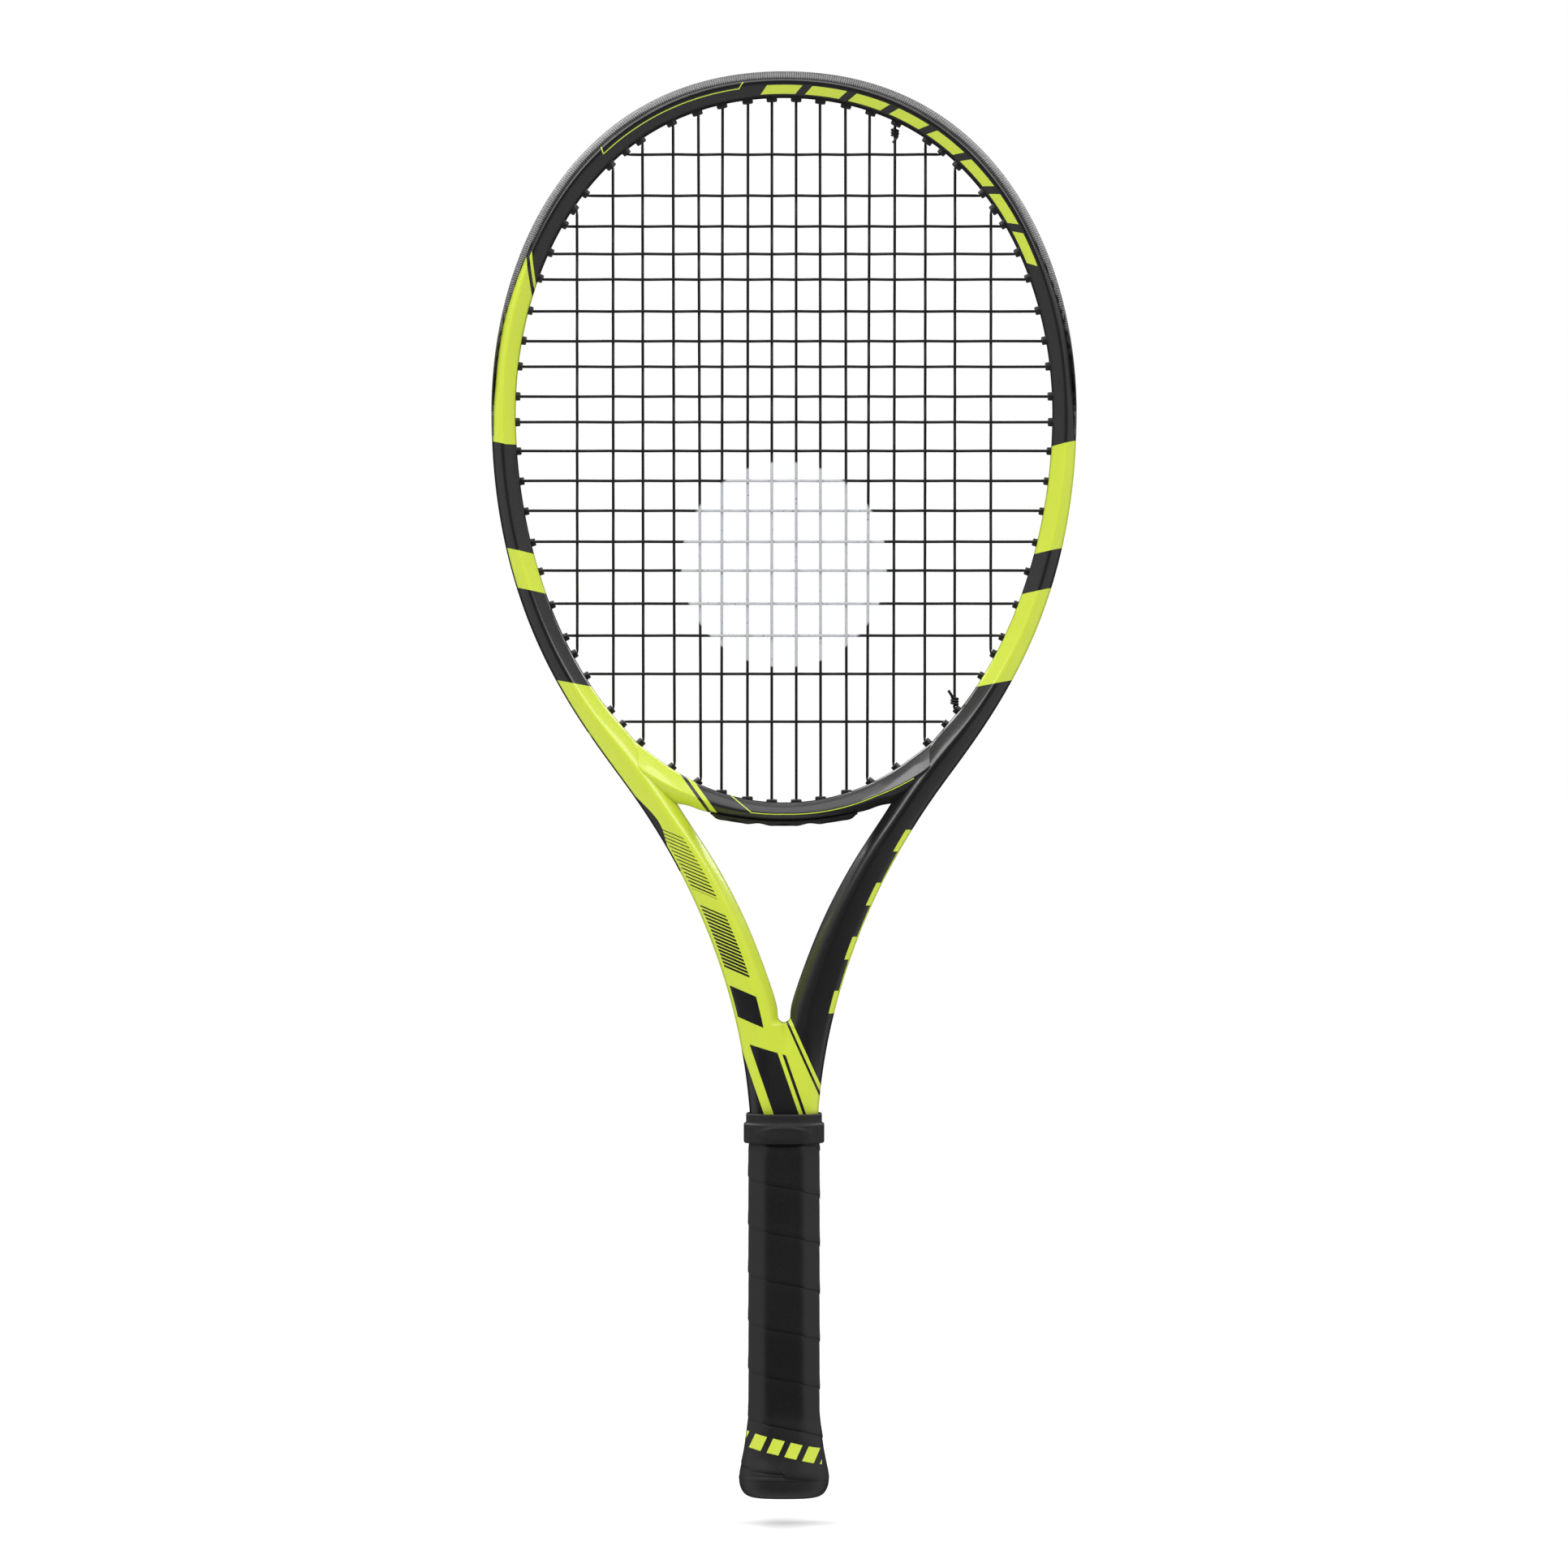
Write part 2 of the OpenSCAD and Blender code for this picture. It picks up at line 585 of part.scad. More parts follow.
door = [20, 14];         // outside of the trap door's lip
door_lip = 1.5;
door_inset = 0.3;
door_play = 0.2;
door_plug = [17, 11];
lip_bevel = 2;
plug_bevel = 1.5;
function door_outline(size, bevel, play = 0) = octagon(size[0] + 2 * play, size[1] + 2 * play, bevel);
cap_floor = 4;
under_grip = 2 * (grip_thickness + sleeve_gap);
module butt_cap() {
    color(black) difference() {
        bar(levels(concat(
            [for (l = flare) [l[0], l[1] - under_grip]],
            [[rim_top, 41.8], [7, 41.6], [3.5, 40], [1.2, 36.6], [0, 31.6]])));
        prism(handle_outline(cap_inside + 2 * sleeve_gap), cap_floor, cap_top + 1);
        prism(door_outline(door_plug, plug_bevel, door_play), -1, cap_floor + 1);
        prism(door_outline(door, lip_bevel, door_play), -1, door_inset + door_lip + door_play);
        cap_staple_set(staple_play);
        grip_staple_at(staple_play);
    }
}

tab = [8, 1.2];          // width and thickness of a tab of the trap door
tab_top = 10;
module trap_door() {
    color(black) {
        prism(door_outline(door, lip_bevel), door_inset, door_inset + door_lip);
        prism(door_outline(door_plug, plug_bevel), door_inset + door_lip, cap_floor);
        for (y = [-door_plug[1] / 2, door_plug[1] / 2 - tab[1]])
            translate([-tab[0] / 2, y, cap_floor]) cube([tab[0], tab[1], tab_top - cap_floor]);
    }
}

grip_top = 168;
skive_bottom = 163;      // above it the grip thins out towards its end
skive_width = 30.4;
tape_thickness = 0.3;
function skive_at(z) = lookup(z, [[skive_bottom, grip_width], [grip_top, skive_width]]);
module grip() {
    outside_levels = concat(
        [[grip_top, skive_width], [skive_bottom, grip_width], [cap_top, grip_width]],
        [for (i = [1:2]) flare[i]], [[rim_top + 0.1, flare[3][1]]]);
    inside_levels = [for (l = outside_levels)
        [l[0], l[0] >= cap_top ? foam_width + 2 * sleeve_gap : l[1] - 2 * grip_thickness]];
    color(black) difference() {
        hollow_bar(levels(outside_levels), levels(inside_levels));
        grip_staple_at(staple_play);
    }
}
module finishing_tape() {
    low = skive_bottom + 1.6;
    heights = [grip_top + 3, grip_top, low];
    inside_widths = [skive_width, skive_width, skive_at(low)];
    color(black) hollow_bar(
        levels([for (i = [0:2]) [heights[i], inside_widths[i] + 2 * (sleeve_gap + tape_thickness)]]),
        levels([for (i = [0:2]) [heights[i], inside_widths[i] + 2 * sleeve_gap]]));
}

collar_width = 37.4;
collar_band = 35.2;
collar_height = 13.7;
band_height = 4.5;
collar_bore = grip_width + 0.6;
collar_edge = 0.5;
module rubber_collar() {
    outside_levels = [
        [collar_height, collar_band - collar_edge], [collar_height - collar_edge, collar_band],
        [collar_height - band_height, collar_band],
        [collar_height - band_height - collar_edge, collar_width],
        [collar_edge, collar_width], [0, collar_width - 2 * collar_edge]
    ];
    color(black) translate([0, 0, collar_bottom])
        hollow_bar(levels(outside_levels), levels([for (l = outside_levels) [l[0], collar_bore]]));
}

frame_tube();
throat_bridge();
bumper_guard();
grommet_strip_left();
grommet_strip_right();
throat_grommet_strip();
main_strings();
cross_strings();
string_turns();
string_knots();
handle_foam();
butt_cap();
butt_cap_staples();
trap_door();
grip();
grip_staple();
finishing_tape();
rubber_collar();
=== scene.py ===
import bmesh
import bpy
import math
import numpy as np
from numpy.linalg import norm
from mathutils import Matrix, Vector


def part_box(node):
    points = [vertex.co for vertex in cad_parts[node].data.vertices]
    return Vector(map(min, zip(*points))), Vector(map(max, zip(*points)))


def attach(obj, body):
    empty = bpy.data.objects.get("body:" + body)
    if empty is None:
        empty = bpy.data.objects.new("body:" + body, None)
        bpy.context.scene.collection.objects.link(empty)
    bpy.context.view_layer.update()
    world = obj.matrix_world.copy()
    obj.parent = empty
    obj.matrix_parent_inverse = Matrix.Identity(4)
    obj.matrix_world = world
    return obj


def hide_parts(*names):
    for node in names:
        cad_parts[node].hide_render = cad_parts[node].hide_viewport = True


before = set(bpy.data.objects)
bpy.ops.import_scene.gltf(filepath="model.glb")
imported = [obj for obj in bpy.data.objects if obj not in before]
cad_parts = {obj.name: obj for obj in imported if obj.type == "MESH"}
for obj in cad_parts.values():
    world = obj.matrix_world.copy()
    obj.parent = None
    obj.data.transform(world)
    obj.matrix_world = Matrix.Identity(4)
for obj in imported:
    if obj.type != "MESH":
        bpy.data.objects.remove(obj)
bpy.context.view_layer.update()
MM = 0.001

# ---------- outlines, in mm in the XZ plane, on the +X side


def vec(*a):
    return np.array(a, float)


def heading(angle):
    """The way down and inwards, at an angle in degrees from straight down."""
    a = math.radians(angle)
    return vec(-math.sin(a), -math.cos(a))


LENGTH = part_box("bumper_guard")[1].z / MM
HALF_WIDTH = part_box("bumper_guard")[1].x / MM
HOOP_WIDTH = 11.0
BRIDGE_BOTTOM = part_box("throat_bridge")[0].z / MM
TIP = vec(0, LENGTH)
SIDE = vec(HALF_WIDTH, 502.5)
BEND = vec(70, 325)
NECK = vec(15.8, 176.2)
BEND_WAY = heading(35.2)
NECK_WAY = heading(3.8)
# The silhouette and the head's opening, as chains of cubic curves from the top down.
OUTER = [
    [TIP, TIP + vec(97, 0), SIDE + vec(0, 74), SIDE],
    [SIDE, SIDE - vec(0, 98.3), BEND - 38 * BEND_WAY, BEND],
    [BEND, BEND + 57.5 * BEND_WAY, NECK - 50.8 * NECK_WAY, NECK],
]
OPEN_TOP = TIP - vec(0, HOOP_WIDTH + 0.6)
OPEN_SIDE = SIDE - vec(HOOP_WIDTH, 0)
OPEN_BOTTOM = vec(0, BRIDGE_BOTTOM + 8.6)
OPENING = [
    [OPEN_TOP, OPEN_TOP + vec(88, 0), OPEN_SIDE + vec(0, 67.5), OPEN_SIDE],
    [OPEN_SIDE, OPEN_SIDE - vec(0, 87.9), OPEN_BOTTOM + vec(78.2, 0), OPEN_BOTTOM],
]


def point(chain, t):
    i = min(int(t), len(chain) - 1)
    p, t = chain[i], t - i
    return (1 - t) ** 3 * p[0] + 3 * (1 - t) ** 2 * t * p[1] + 3 * (1 - t) * t * t * p[2] + t**3 * p[3]


def inward(chain, t):
    """The unit normal that points into the head."""
    i = min(int(t), len(chain) - 1)
    p, t = chain[i], t - i
    d = (1 - t) ** 2 * (p[1] - p[0]) + 2 * (1 - t) * t * (p[2] - p[1]) + t * t * (p[3] - p[2])
    d = d / norm(d)
    return vec(d[1], -d[0])


def rim(t):
    """A point of the silhouette and the way inwards from it."""
    return point(OUTER, t), inward(OUTER, t)


def halve(is_low, lo, hi, steps=40):
    """Closes a range in on the value where is_low turns false."""
    for _ in range(steps):
        m = (lo + hi) / 2
        if is_low(m):
            lo = m
        else:
            hi = m
    return lo, hi


def find(chain, axis, goal, a, b, steps=40):
    """The place from a to b where a chain's coordinate reaches the goal."""
    rising = point(chain, b)[axis] > point(chain, a)[axis]
    return sum(halve(lambda m: (point(chain, m)[axis] < goal) == rising, a, b, steps)) / 2


def smooth(a, b, x):
    """0 at a and 1 at b, easing in between."""
    t = min(max((x - a) / (b - a), 0.0), 1.0)
    return t * t * (3 - 2 * t)


def look(table, x):
    return float(np.interp(x, *zip(*table)))


def soft_look(table, x, reach=7.0):
    return sum(look(table, x + reach * k / 4) for k in range(-4, 5)) / 9


# By height: how much wider the tube is than at the hoop's side, and half of its depth.
EXTRA_WIDTHS = [
    (172, 9.5), (214, 10), (240, 8.2), (264, 7), (289, 5.2), (301, 4), (313, 3.5), (325, 4.3), (342, 4.85),
    (352, 3.2), (363, 2.2), (388, 1.3), (420, 1), (457, 0.5), (502, 0), (540, 0.2), (576, 0.6), (623, 1.1),
    (640, 1.1), (660, 0.6),
]
HALF_DEPTHS = [(172, 11), (230, 11.8), (330, 12.2), (480, 12), (640, 11.5)]
GROOVE_DEPTH = 2.6
BUMPER_THICKNESS = 1.4
BASE = 0.95  # how thick the grommet strips are
# The bumper, the strips and the fades of their seats end at these places along the silhouette.
BUMPER_END, STRIP_END, FADE = 1.05, 2.25, 0.12


def recess(t):
    return BUMPER_THICKNESS * (1 - smooth(BUMPER_END - FADE, BUMPER_END, t))


def groove(t):
    return GROOVE_DEPTH * (1 - smooth(STRIP_END, STRIP_END + FADE, t))


# ---------- mesh helpers

LEAST_RADIUS = 0.02


def bend(s, p, e, f):
    """A point of the quadratic curve from s by p to e."""
    return (1 - f) ** 2 * s + 2 * (1 - f) * f * p + f * f * e


def rounded(poly, radii, n=4):
    """Rounds the corners of a closed 2-D outline; every corner gives n + 1 points."""
    out, count = [], len(poly)
    for i in range(count):
        p, a, b = poly[i], poly[i - 1], poly[(i + 1) % count]
        la, lb = norm(a - p), norm(b - p)
        r = max(LEAST_RADIUS, min(radii[i], 0.45 * la, 0.45 * lb))
        s, e = p + (a - p) / max(la, 1e-9) * r, p + (b - p) / max(lb, 1e-9) * r
        out += [bend(s, p, e, k / n) for k in range(n + 1)]
    return np.array(out)


class Shape:
    """Collects points (v) and faces (f) in mm, with a point attribute (a): along, across, depth."""

    def __init__(self):
        self.v, self.f, self.a, self.n = [], [], [], 0

    def add(self, verts, faces, attr=None):
        verts = np.asarray(verts, float).reshape(-1, 3)
        self.v.append(verts)
        self.a.append(np.zeros_like(verts) if attr is None else np.asarray(attr, float).reshape(-1, 3))
        self.f += [tuple(i + self.n for i in face) for face in faces]
        self.n += len(verts)

    def loft(self, rings, closed=False, caps=True, attr=None, flip=False):
        rings = np.asarray(rings, float)
        m, k = rings.shape[:2]
        faces = []
        for i in range(m if closed else m - 1):
            j = (i + 1) % m
            for q in range(k):
                r = (q + 1) % k
                face = (i * k + q, i * k + r, j * k + r, j * k + q)
                faces.append(face[::-1] if flip else face)
        if caps and not closed:
            first, last = tuple(range(k))[::-1], tuple(range((m - 1) * k, m * k))
            faces += [first[::-1], last[::-1]] if flip else [first, last]
        self.add(rings, faces, attr)

    def sweep(self, stations, caps=True):
        """Lofts through pairs of a ring and its attribute."""
        rings, attrs = zip(*stations)
        self.loft(rings, caps=caps, attr=attrs)

    def mirror(self, body):
        """Adds the mirror image in X of another shape."""
        for v, a in zip(body.v, body.a):
            self.v.append(v * [-1, 1, 1])
            self.a.append(a)
        self.f += [tuple(i + self.n for i in face)[::-1] for face in body.f]
        self.n += body.n


def placed(name, data):
    obj = bpy.data.objects.new(name, data)
    bpy.context.scene.collection.objects.link(obj)
    return obj


def piece(name, shape, node, slot, body="racket", merge=0.002, sharp=None):
    """Makes an object that stands for a CAD node; edges from sharp degrees on stay sharp."""
    mesh = bpy.data.meshes.new(name)
    mesh.from_pydata((np.concatenate(shape.v) * MM).tolist(), [], shape.f)
    attr = mesh.attributes.new("run", "FLOAT_VECTOR", "POINT")
    attr.data.foreach_set("vector", np.concatenate(shape.a).ravel())
    obj = placed(name, mesh)
    bm = bmesh.new()
    bm.from_mesh(mesh)
    bmesh.ops.remove_doubles(bm, verts=bm.verts, dist=merge * MM)
    bmesh.ops.dissolve_degenerate(bm, edges=bm.edges, dist=0.0005 * MM)
    bmesh.ops.recalc_face_normals(bm, faces=bm.faces)
    for f in bm.faces:
        f.smooth = True
    if sharp:
        limit = math.radians(sharp)
        for e in bm.edges:
            e.smooth = len(e.link_faces) == 2 and e.calc_face_angle(0) < limit
    bm.to_mesh(mesh)
    bm.free()
    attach(obj, body)
    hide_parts(node)
    mesh.materials.append(MATERIALS[slot])
    return obj


def tube(path, radius, sides=10):
    """Rings round a path, turned as little as possible from one to the next."""
    path = np.asarray(path, float)
    ways = np.roll(path, -1, 0) - np.roll(path, 1, 0)
    ways[0], ways[-1] = path[1] - path[0], path[-1] - path[-2]
    ways /= norm(ways, axis=1)[:, None]
    a = np.cross(ways[0], vec(0, 1, 0) if abs(ways[0][1]) < 0.9 else vec(1, 0, 0))
    w = np.arange(sides) * 2 * math.pi / sides
    rings = []
    for centre, way in zip(path, ways):
        a = a - way * np.dot(a, way)
        a /= norm(a)
        b = np.cross(way, a)
        rings.append(centre + radius * (np.cos(w)[:, None] * a + np.sin(w)[:, None] * b))
    return np.array(rings)


def curve_through(points, step):
    """A smooth curve through the points (centripetal Catmull-Rom), in steps of about this length."""
    p = np.asarray(points, float)
    p = np.vstack([2 * p[0] - p[1], p, 2 * p[-1] - p[-2]])
    out = []
    for i in range(1, len(p) - 2):
        p0, p1, p2, p3 = p[i - 1 : i + 3]
        d = [max(norm(y - x) ** 0.5, 1e-4) for x, y in ((p0, p1), (p1, p2), (p2, p3))]
        m1 = (p1 - p0) / d[0] - (p2 - p0) / (d[0] + d[1]) + (p2 - p1) / d[1]
        m2 = (p2 - p1) / d[1] - (p3 - p1) / (d[1] + d[2]) + (p3 - p2) / d[2]
        m1, m2 = m1 * d[1], m2 * d[1]
        k = max(2, int(math.ceil(norm(p2 - p1) / step)))
        for j in range(k):
            t = j / k
            out.append(
                (2 * t**3 - 3 * t**2 + 1) * p1 + (t**3 - 2 * t**2 + t) * m1
                + (-2 * t**3 + 3 * t**2) * p2 + (t**3 - t**2) * m2
            )
    return np.array(out + [p[-2]])


# ---------- node materials


def operator(name):
    return lambda self, *others: self.calculate(name, *others)


class Nodes:
    def new(self, kind):
        return self.tree.nodes.new("ShaderNode" + kind)

    def join(self, output, socket):
        self.tree.links.new(output, socket)


class Ex(Nodes):
    """A number in a node tree, with ordinary arithmetic; & and | join the tests of two patterns."""

    def __init__(self, tree, value):
        self.tree, self.value = tree, value

    def calculate(self, operation, *others):
        node = self.new("Math")
        node.operation = operation
        for i, x in enumerate((self,) + others):
            v = x.value if isinstance(x, Ex) else x
            if isinstance(v, (int, float)):
                node.inputs[i].default_value = v
            else:
                self.join(v, node.inputs[i])
        return Ex(self.tree, node.outputs[0])

    __add__ = __radd__ = operator("ADD")
    __sub__ = operator("SUBTRACT")
    __mul__ = __rmul__ = __and__ = operator("MULTIPLY")
    __truediv__ = operator("DIVIDE")
    __or__ = operator("MAXIMUM")
    __lt__, __gt__ = operator("LESS_THAN"), operator("GREATER_THAN")
    abs, cos, frac, root = operator("ABSOLUTE"), operator("COSINE"), operator("FRACT"), operator("SQRT")

    def __rsub__(self, other):
        return Ex(self.tree, float(other)).calculate("SUBTRACT", self)

    def __invert__(self):
        return 1.0 - self

    def within(self, low, high):
        return (self > low) & (self < high)

    def ramp(self, a, b, lo=0.0, hi=1.0):
        node = self.new("MapRange")
        node.interpolation_type = "SMOOTHSTEP"
        self.join(self.value, node.inputs[0])
        for i, v in enumerate((a, b, lo, hi)):
            node.inputs[i + 1].default_value = v
        return Ex(self.tree, node.outputs[0])


class Look(Nodes):
    """A Principled material, with object coordinates in mm and the piece's own run attribute."""

    SOCKETS = {
        "rough": "Roughness", "metal": "Metallic", "coat": "Coat Weight", "coat_rough": "Coat Roughness",
        "spec": "Specular IOR Level", "sheen": "Sheen Weight", "sheen_rough": "Sheen Roughness",
    }

    def __init__(self, name, **values):
        self.mat = bpy.data.materials.new(name)
        self.mat.use_nodes = True
        self.tree = self.mat.node_tree
        self.shader = self.tree.nodes["Principled BSDF"]
        for key, value in values.items():
            self.shader.inputs[self.SOCKETS[key]].default_value = value
        coords = self.new("TexCoord")
        scale = self.new("VectorMath")
        scale.operation = "SCALE"
        scale.inputs["Scale"].default_value = 1 / MM
        self.join(coords.outputs["Object"], scale.inputs[0])
        self.place = scale.outputs[0]
        self.x, self.y, self.z = self.split(self.place)
        run = self.new("Attribute")
        run.attribute_name = "run"
        self.along, self.across, self.depth = self.split(run.outputs["Vector"])

    def split(self, vector):
        node = self.new("SeparateXYZ")
        self.join(vector, node.inputs[0])
        return [Ex(self.tree, o) for o in node.outputs]

    def texture(self, kind, size, stretch=(1, 1, 1)):
        """A texture node whose features are about size mm across."""
        mapping = self.new("Mapping")
        mapping.inputs["Scale"].default_value = [s / size for s in stretch]
        self.join(self.place, mapping.inputs[0])
        node = self.new("Tex" + kind)
        node.inputs["Scale"].default_value = 1.0
        self.join(mapping.outputs[0], node.inputs["Vector"])
        return node

    def noise(self, size, detail=3.0, rough=0.55, stretch=(1, 1, 1)):
        node = self.texture("Noise", size, stretch)
        node.inputs["Detail"].default_value = detail
        node.inputs["Roughness"].default_value = rough
        return Ex(self.tree, node.outputs[0])

    def cells(self, size):
        return Ex(self.tree, self.texture("Voronoi", size).outputs[0])

    def mix(self, factor, a, b):
        """Colour a where factor is 0 and b where it is 1; a or b may be a colour or a node's output."""
        node = self.new("Mix")
        node.data_type = "RGBA"
        self.join(factor.value, node.inputs[0])
        for socket, v in ((node.inputs[6], a), (node.inputs[7], b)):
            if isinstance(v, tuple):
                socket.default_value = (*v, 1)
            else:
                self.join(v, socket)
        return node.outputs[2]

    def color(self, output):
        self.join(output, self.shader.inputs["Base Color"])

    def link(self, name, ex):
        self.join(ex.value, self.shader.inputs[name])

    def bump(self, height, strength, depth):
        """Height from 0 to 1 stands for depth mm."""
        node = self.new("Bump")
        node.inputs["Strength"].default_value = strength
        node.inputs["Distance"].default_value = depth * MM
        self.join(height.value, node.inputs["Height"])
        self.join(node.outputs[0], self.shader.inputs["Normal"])
        if self.shader.inputs["Coat Weight"].default_value > 0:
            self.join(node.outputs[0], self.shader.inputs["Coat Normal"])


LIME = (0.565, 0.675, 0.050)
LIME_DEEP = (0.53, 0.64, 0.042)
BLACK = (0.009, 0.009, 0.010)
BLACK_SOFT = (0.019, 0.019, 0.020)


def hoop_bars(s, u, w, z, right):
    """Slanted lime bars on the inner bevel, from the tip round to the right."""
    slanted = s * (right * 2.0 - 1.0) + 0.9 * (u - 9.0) + 10.0
    dashes = slanted.within(0.0, 176.0) & ((slanted / 22.0).frac() < 0.78)
    return dashes & (u > w * 0.60) & (u < w * 0.93) & (z > 560.0)


def hoop_trace(s, u, w, z, left):
    """A thin line along the inner bevel at the upper left, with a slanted riser at each end."""
    back = 0.0 - s * left
    rise = w * 0.63 - u
    line = (u - w * 0.63).abs() < 0.20
    risers = (back - 0.9 * rise).within(-22.3, -21.7) | (back - 0.5 * rise).within(-97.6, -97.0)
    return ((line & back.within(-97.0, -22.0)) | (risers & u.within(4.6, 7.6))) & (z > 500.0)


def bridge_marks(x, z, u, w):
    """Lime up to a slanted edge on the left, then black with a lime line along the ridge."""
    slant = x + 0.72 * (z - 318.0)
    lime = (slant < -36.0) | slant.within(-34.2, -31.8)
    ridge_line = (u - w).abs() < 0.20
    riser = ((x + 15.6) + 1.19 * (z - 317.4)).abs() < 0.35
    return lime | (ridge_line & x.within(-15.6, 60.0)) | (riser & (u < w))


def left_arm_gaps(x, z, u, w):
    """Where the left arm is black: hatched panels that fade out upwards, a band, and the foot."""
    tilt = z + 0.42 * x
    panels = (tilt.within(264, 286) | tilt.within(234, 258)) & (u > w * 0.10) & (u < w * 0.60)
    hatch = (tilt / 1.55).frac() < tilt.ramp(234, 290, 0.66, 0.28)
    band = tilt.within(213.5, 226.5) & u.within(1.5, 12.0)
    foot = ((0.945 * (x + 12.2) + 0.327 * (z - 186.0)) < 0.0) & (z < 225.0)
    return (panels & hatch) | band | foot


def frame_paint():
    """Lime and black paint in plain blocks; u, s and w are the ways across and along and the width."""
    m = Look("frame_paint", rough=0.26, coat=0.4, coat_rough=0.10, spec=0.4)
    x, z, u, s, w = m.x, m.z, m.across, m.along, m.depth
    left, right = x < 0.0, x > 0.0
    # The hoop's colour blocks; their edges run a little downwards to the inner side.
    sloped = z + u * 0.24 - 1.6
    shoulder = z + 2.2 * (u - 3.5)
    lime_left = (z > 487.3) & (sloped > 487.3) & (shoulder < 574.0)
    lime_left = lime_left | sloped.within(419.6, 438.0) | (sloped < 376.8)
    lime_left = lime_left | (shoulder.within(577.2, 579.8) & (z < 578.5) & (u > 5.0))
    lime_right = sloped.within(437.9, 487.6) | sloped.within(376.7, 419.4)
    outer_edge = (u < 0.75) & (z > 290.0)
    wedge = (u < (z - 313.0).abs().ramp(0.0, 17.0, 3.2, 0.0)) & z.within(296, 352)
    lime_left = lime_left & ~(outer_edge | wedge)
    # The V's foot is lime, up to a slanted black edge on the right with a parallel line.
    cut = 0.912 * (x - 5.3) + 0.412 * (z - 216.8)
    lime_right = lime_right | ((z < 232.0) & (cut < 0.0) & ~cut.within(-2.7, -1.6))
    # Equal dashes and an even line along the right arm's outer edge.
    dashes = (((z - 224.0) / 25.0).frac() < 0.42) & (u < 2.6)
    lime_right = lime_right | ((dashes | (u < 0.7)) & z.within(224.0, 309.0))
    bars = hoop_bars(s, u, w, z, right)
    lime_right = lime_right | bars
    lime_left = (lime_left | bars | hoop_trace(s, u, w, z, left)) & ~left_arm_gaps(x, z, u, w)
    # A black slanted band over the shaft, with a thin line beside it.
    p = 0.945 * x + 0.327 * (z - 190.0)
    shaft_band = (p.within(-8.6, 2.4) | p.within(4.2, 5.6)) & (z + 0.30 * x < 205.0) & (z < 216.0)
    arm_lime = ((left & lime_left) | (right & lime_right)) & ~shaft_band
    on_bridge = s < -0.5  # the bridge's way along is negative
    lime = (on_bridge & bridge_marks(x, z, u, w)) | (~on_bridge & arm_lime)
    # A carbon-like hatch in the black, seen only as a small change of tone on the inner bevel.
    ply = ((x * 0.7 + z * 0.7) / 1.1).frac().ramp(0.35, 0.65)
    ply = (ply - ((x * 0.7 - z * 0.7) / 1.1).frac().ramp(0.35, 0.65)).abs()
    cloud = m.noise(26, 2)
    grain = m.noise(1.3, 2)
    scuff = m.noise(3.0, 6, 0.7, (1, 1, 0.35)).ramp(0.66, 0.74)
    black = m.mix(ply * (u > w * 0.6) * 0.6 + cloud * 0.3, BLACK, BLACK_SOFT)
    m.color(m.mix(lime, black, m.mix(cloud, LIME, LIME_DEEP)))
    m.link("Roughness", 0.24 + 0.10 * cloud + 0.12 * scuff + 0.05 * grain)
    m.bump(grain * 0.4 + m.noise(6, 1) * 0.6, 0.2, 0.012)
    return m.mat


def plastic(name, color, lighter, rough, grain=0.5, depth=0.03, wear=0.25):
    m = Look(name, spec=0.45)
    n, fine = m.noise(9, 4), m.noise(grain, 2)
    scuff = m.noise(2.2, 6, 0.75, (1, 1, 0.4)).ramp(0.62, 0.72)
    m.color(m.mix(n * 0.6 + scuff * wear, color, lighter))
    m.link("Roughness", rough + 0.12 * n + 0.12 * scuff - 0.06 * fine)
    m.bump(fine, 0.6, depth)
    return m.mat


def bumper_nylon():
    """Moulded rows of fine staggered studs, on the guard (depth 1) but not on its barrels (depth 0)."""
    m = Look("bumper_nylon", spec=0.4)
    pitch_along, pitch_across = 1.05, 0.95
    across = m.across + m.y.abs()
    stud = (m.along * (math.pi / pitch_along)).cos() * (across * (math.pi / pitch_across)).cos()
    stud = stud.abs().ramp(0.30, 0.75) * m.depth
    worn = m.noise(5, 6, 0.7).ramp(0.55, 0.75) * m.depth
    dust = m.noise(22, 3)
    pale = stud * 0.75 + worn * 0.2 + dust * 0.1 * m.depth
    m.color(m.mix(pale, (0.022, 0.021, 0.022), (0.32, 0.31, 0.315)))
    m.link("Roughness", 0.46 + 0.18 * worn - 0.10 * stud)
    m.bump(stud + m.noise(0.3, 2) * 0.15, 0.8, 0.16)
    return m.mat


def string_polymer():
    m = Look("string_polymer", rough=0.3, spec=0.35)
    ridges = ((m.x * 0.6 + m.z * 0.6 + m.y * 1.2) / 0.42).frac().ramp(0.2, 0.8)
    n = m.noise(6, 4)
    black = m.mix(n * 0.7 + ridges * 0.15, (0.005, 0.005, 0.0055), (0.014, 0.0135, 0.014))
    # A plain round patch of white ink on the strings.
    patch_height, patch_radius = 432.0, 47.0
    middle = (m.x * m.x + (m.z - patch_height) * (m.z - patch_height)).root()
    ink = middle.ramp(patch_radius, patch_radius + 1.2, 1.0, 0.0) * m.noise(1.2, 4).ramp(0.24, 0.40)
    m.color(m.mix(ink, black, (0.44, 0.45, 0.47)))
    m.link("Roughness", 0.26 + 0.16 * n)
    m.bump(ridges, 0.35, 0.02)
    return m.mat


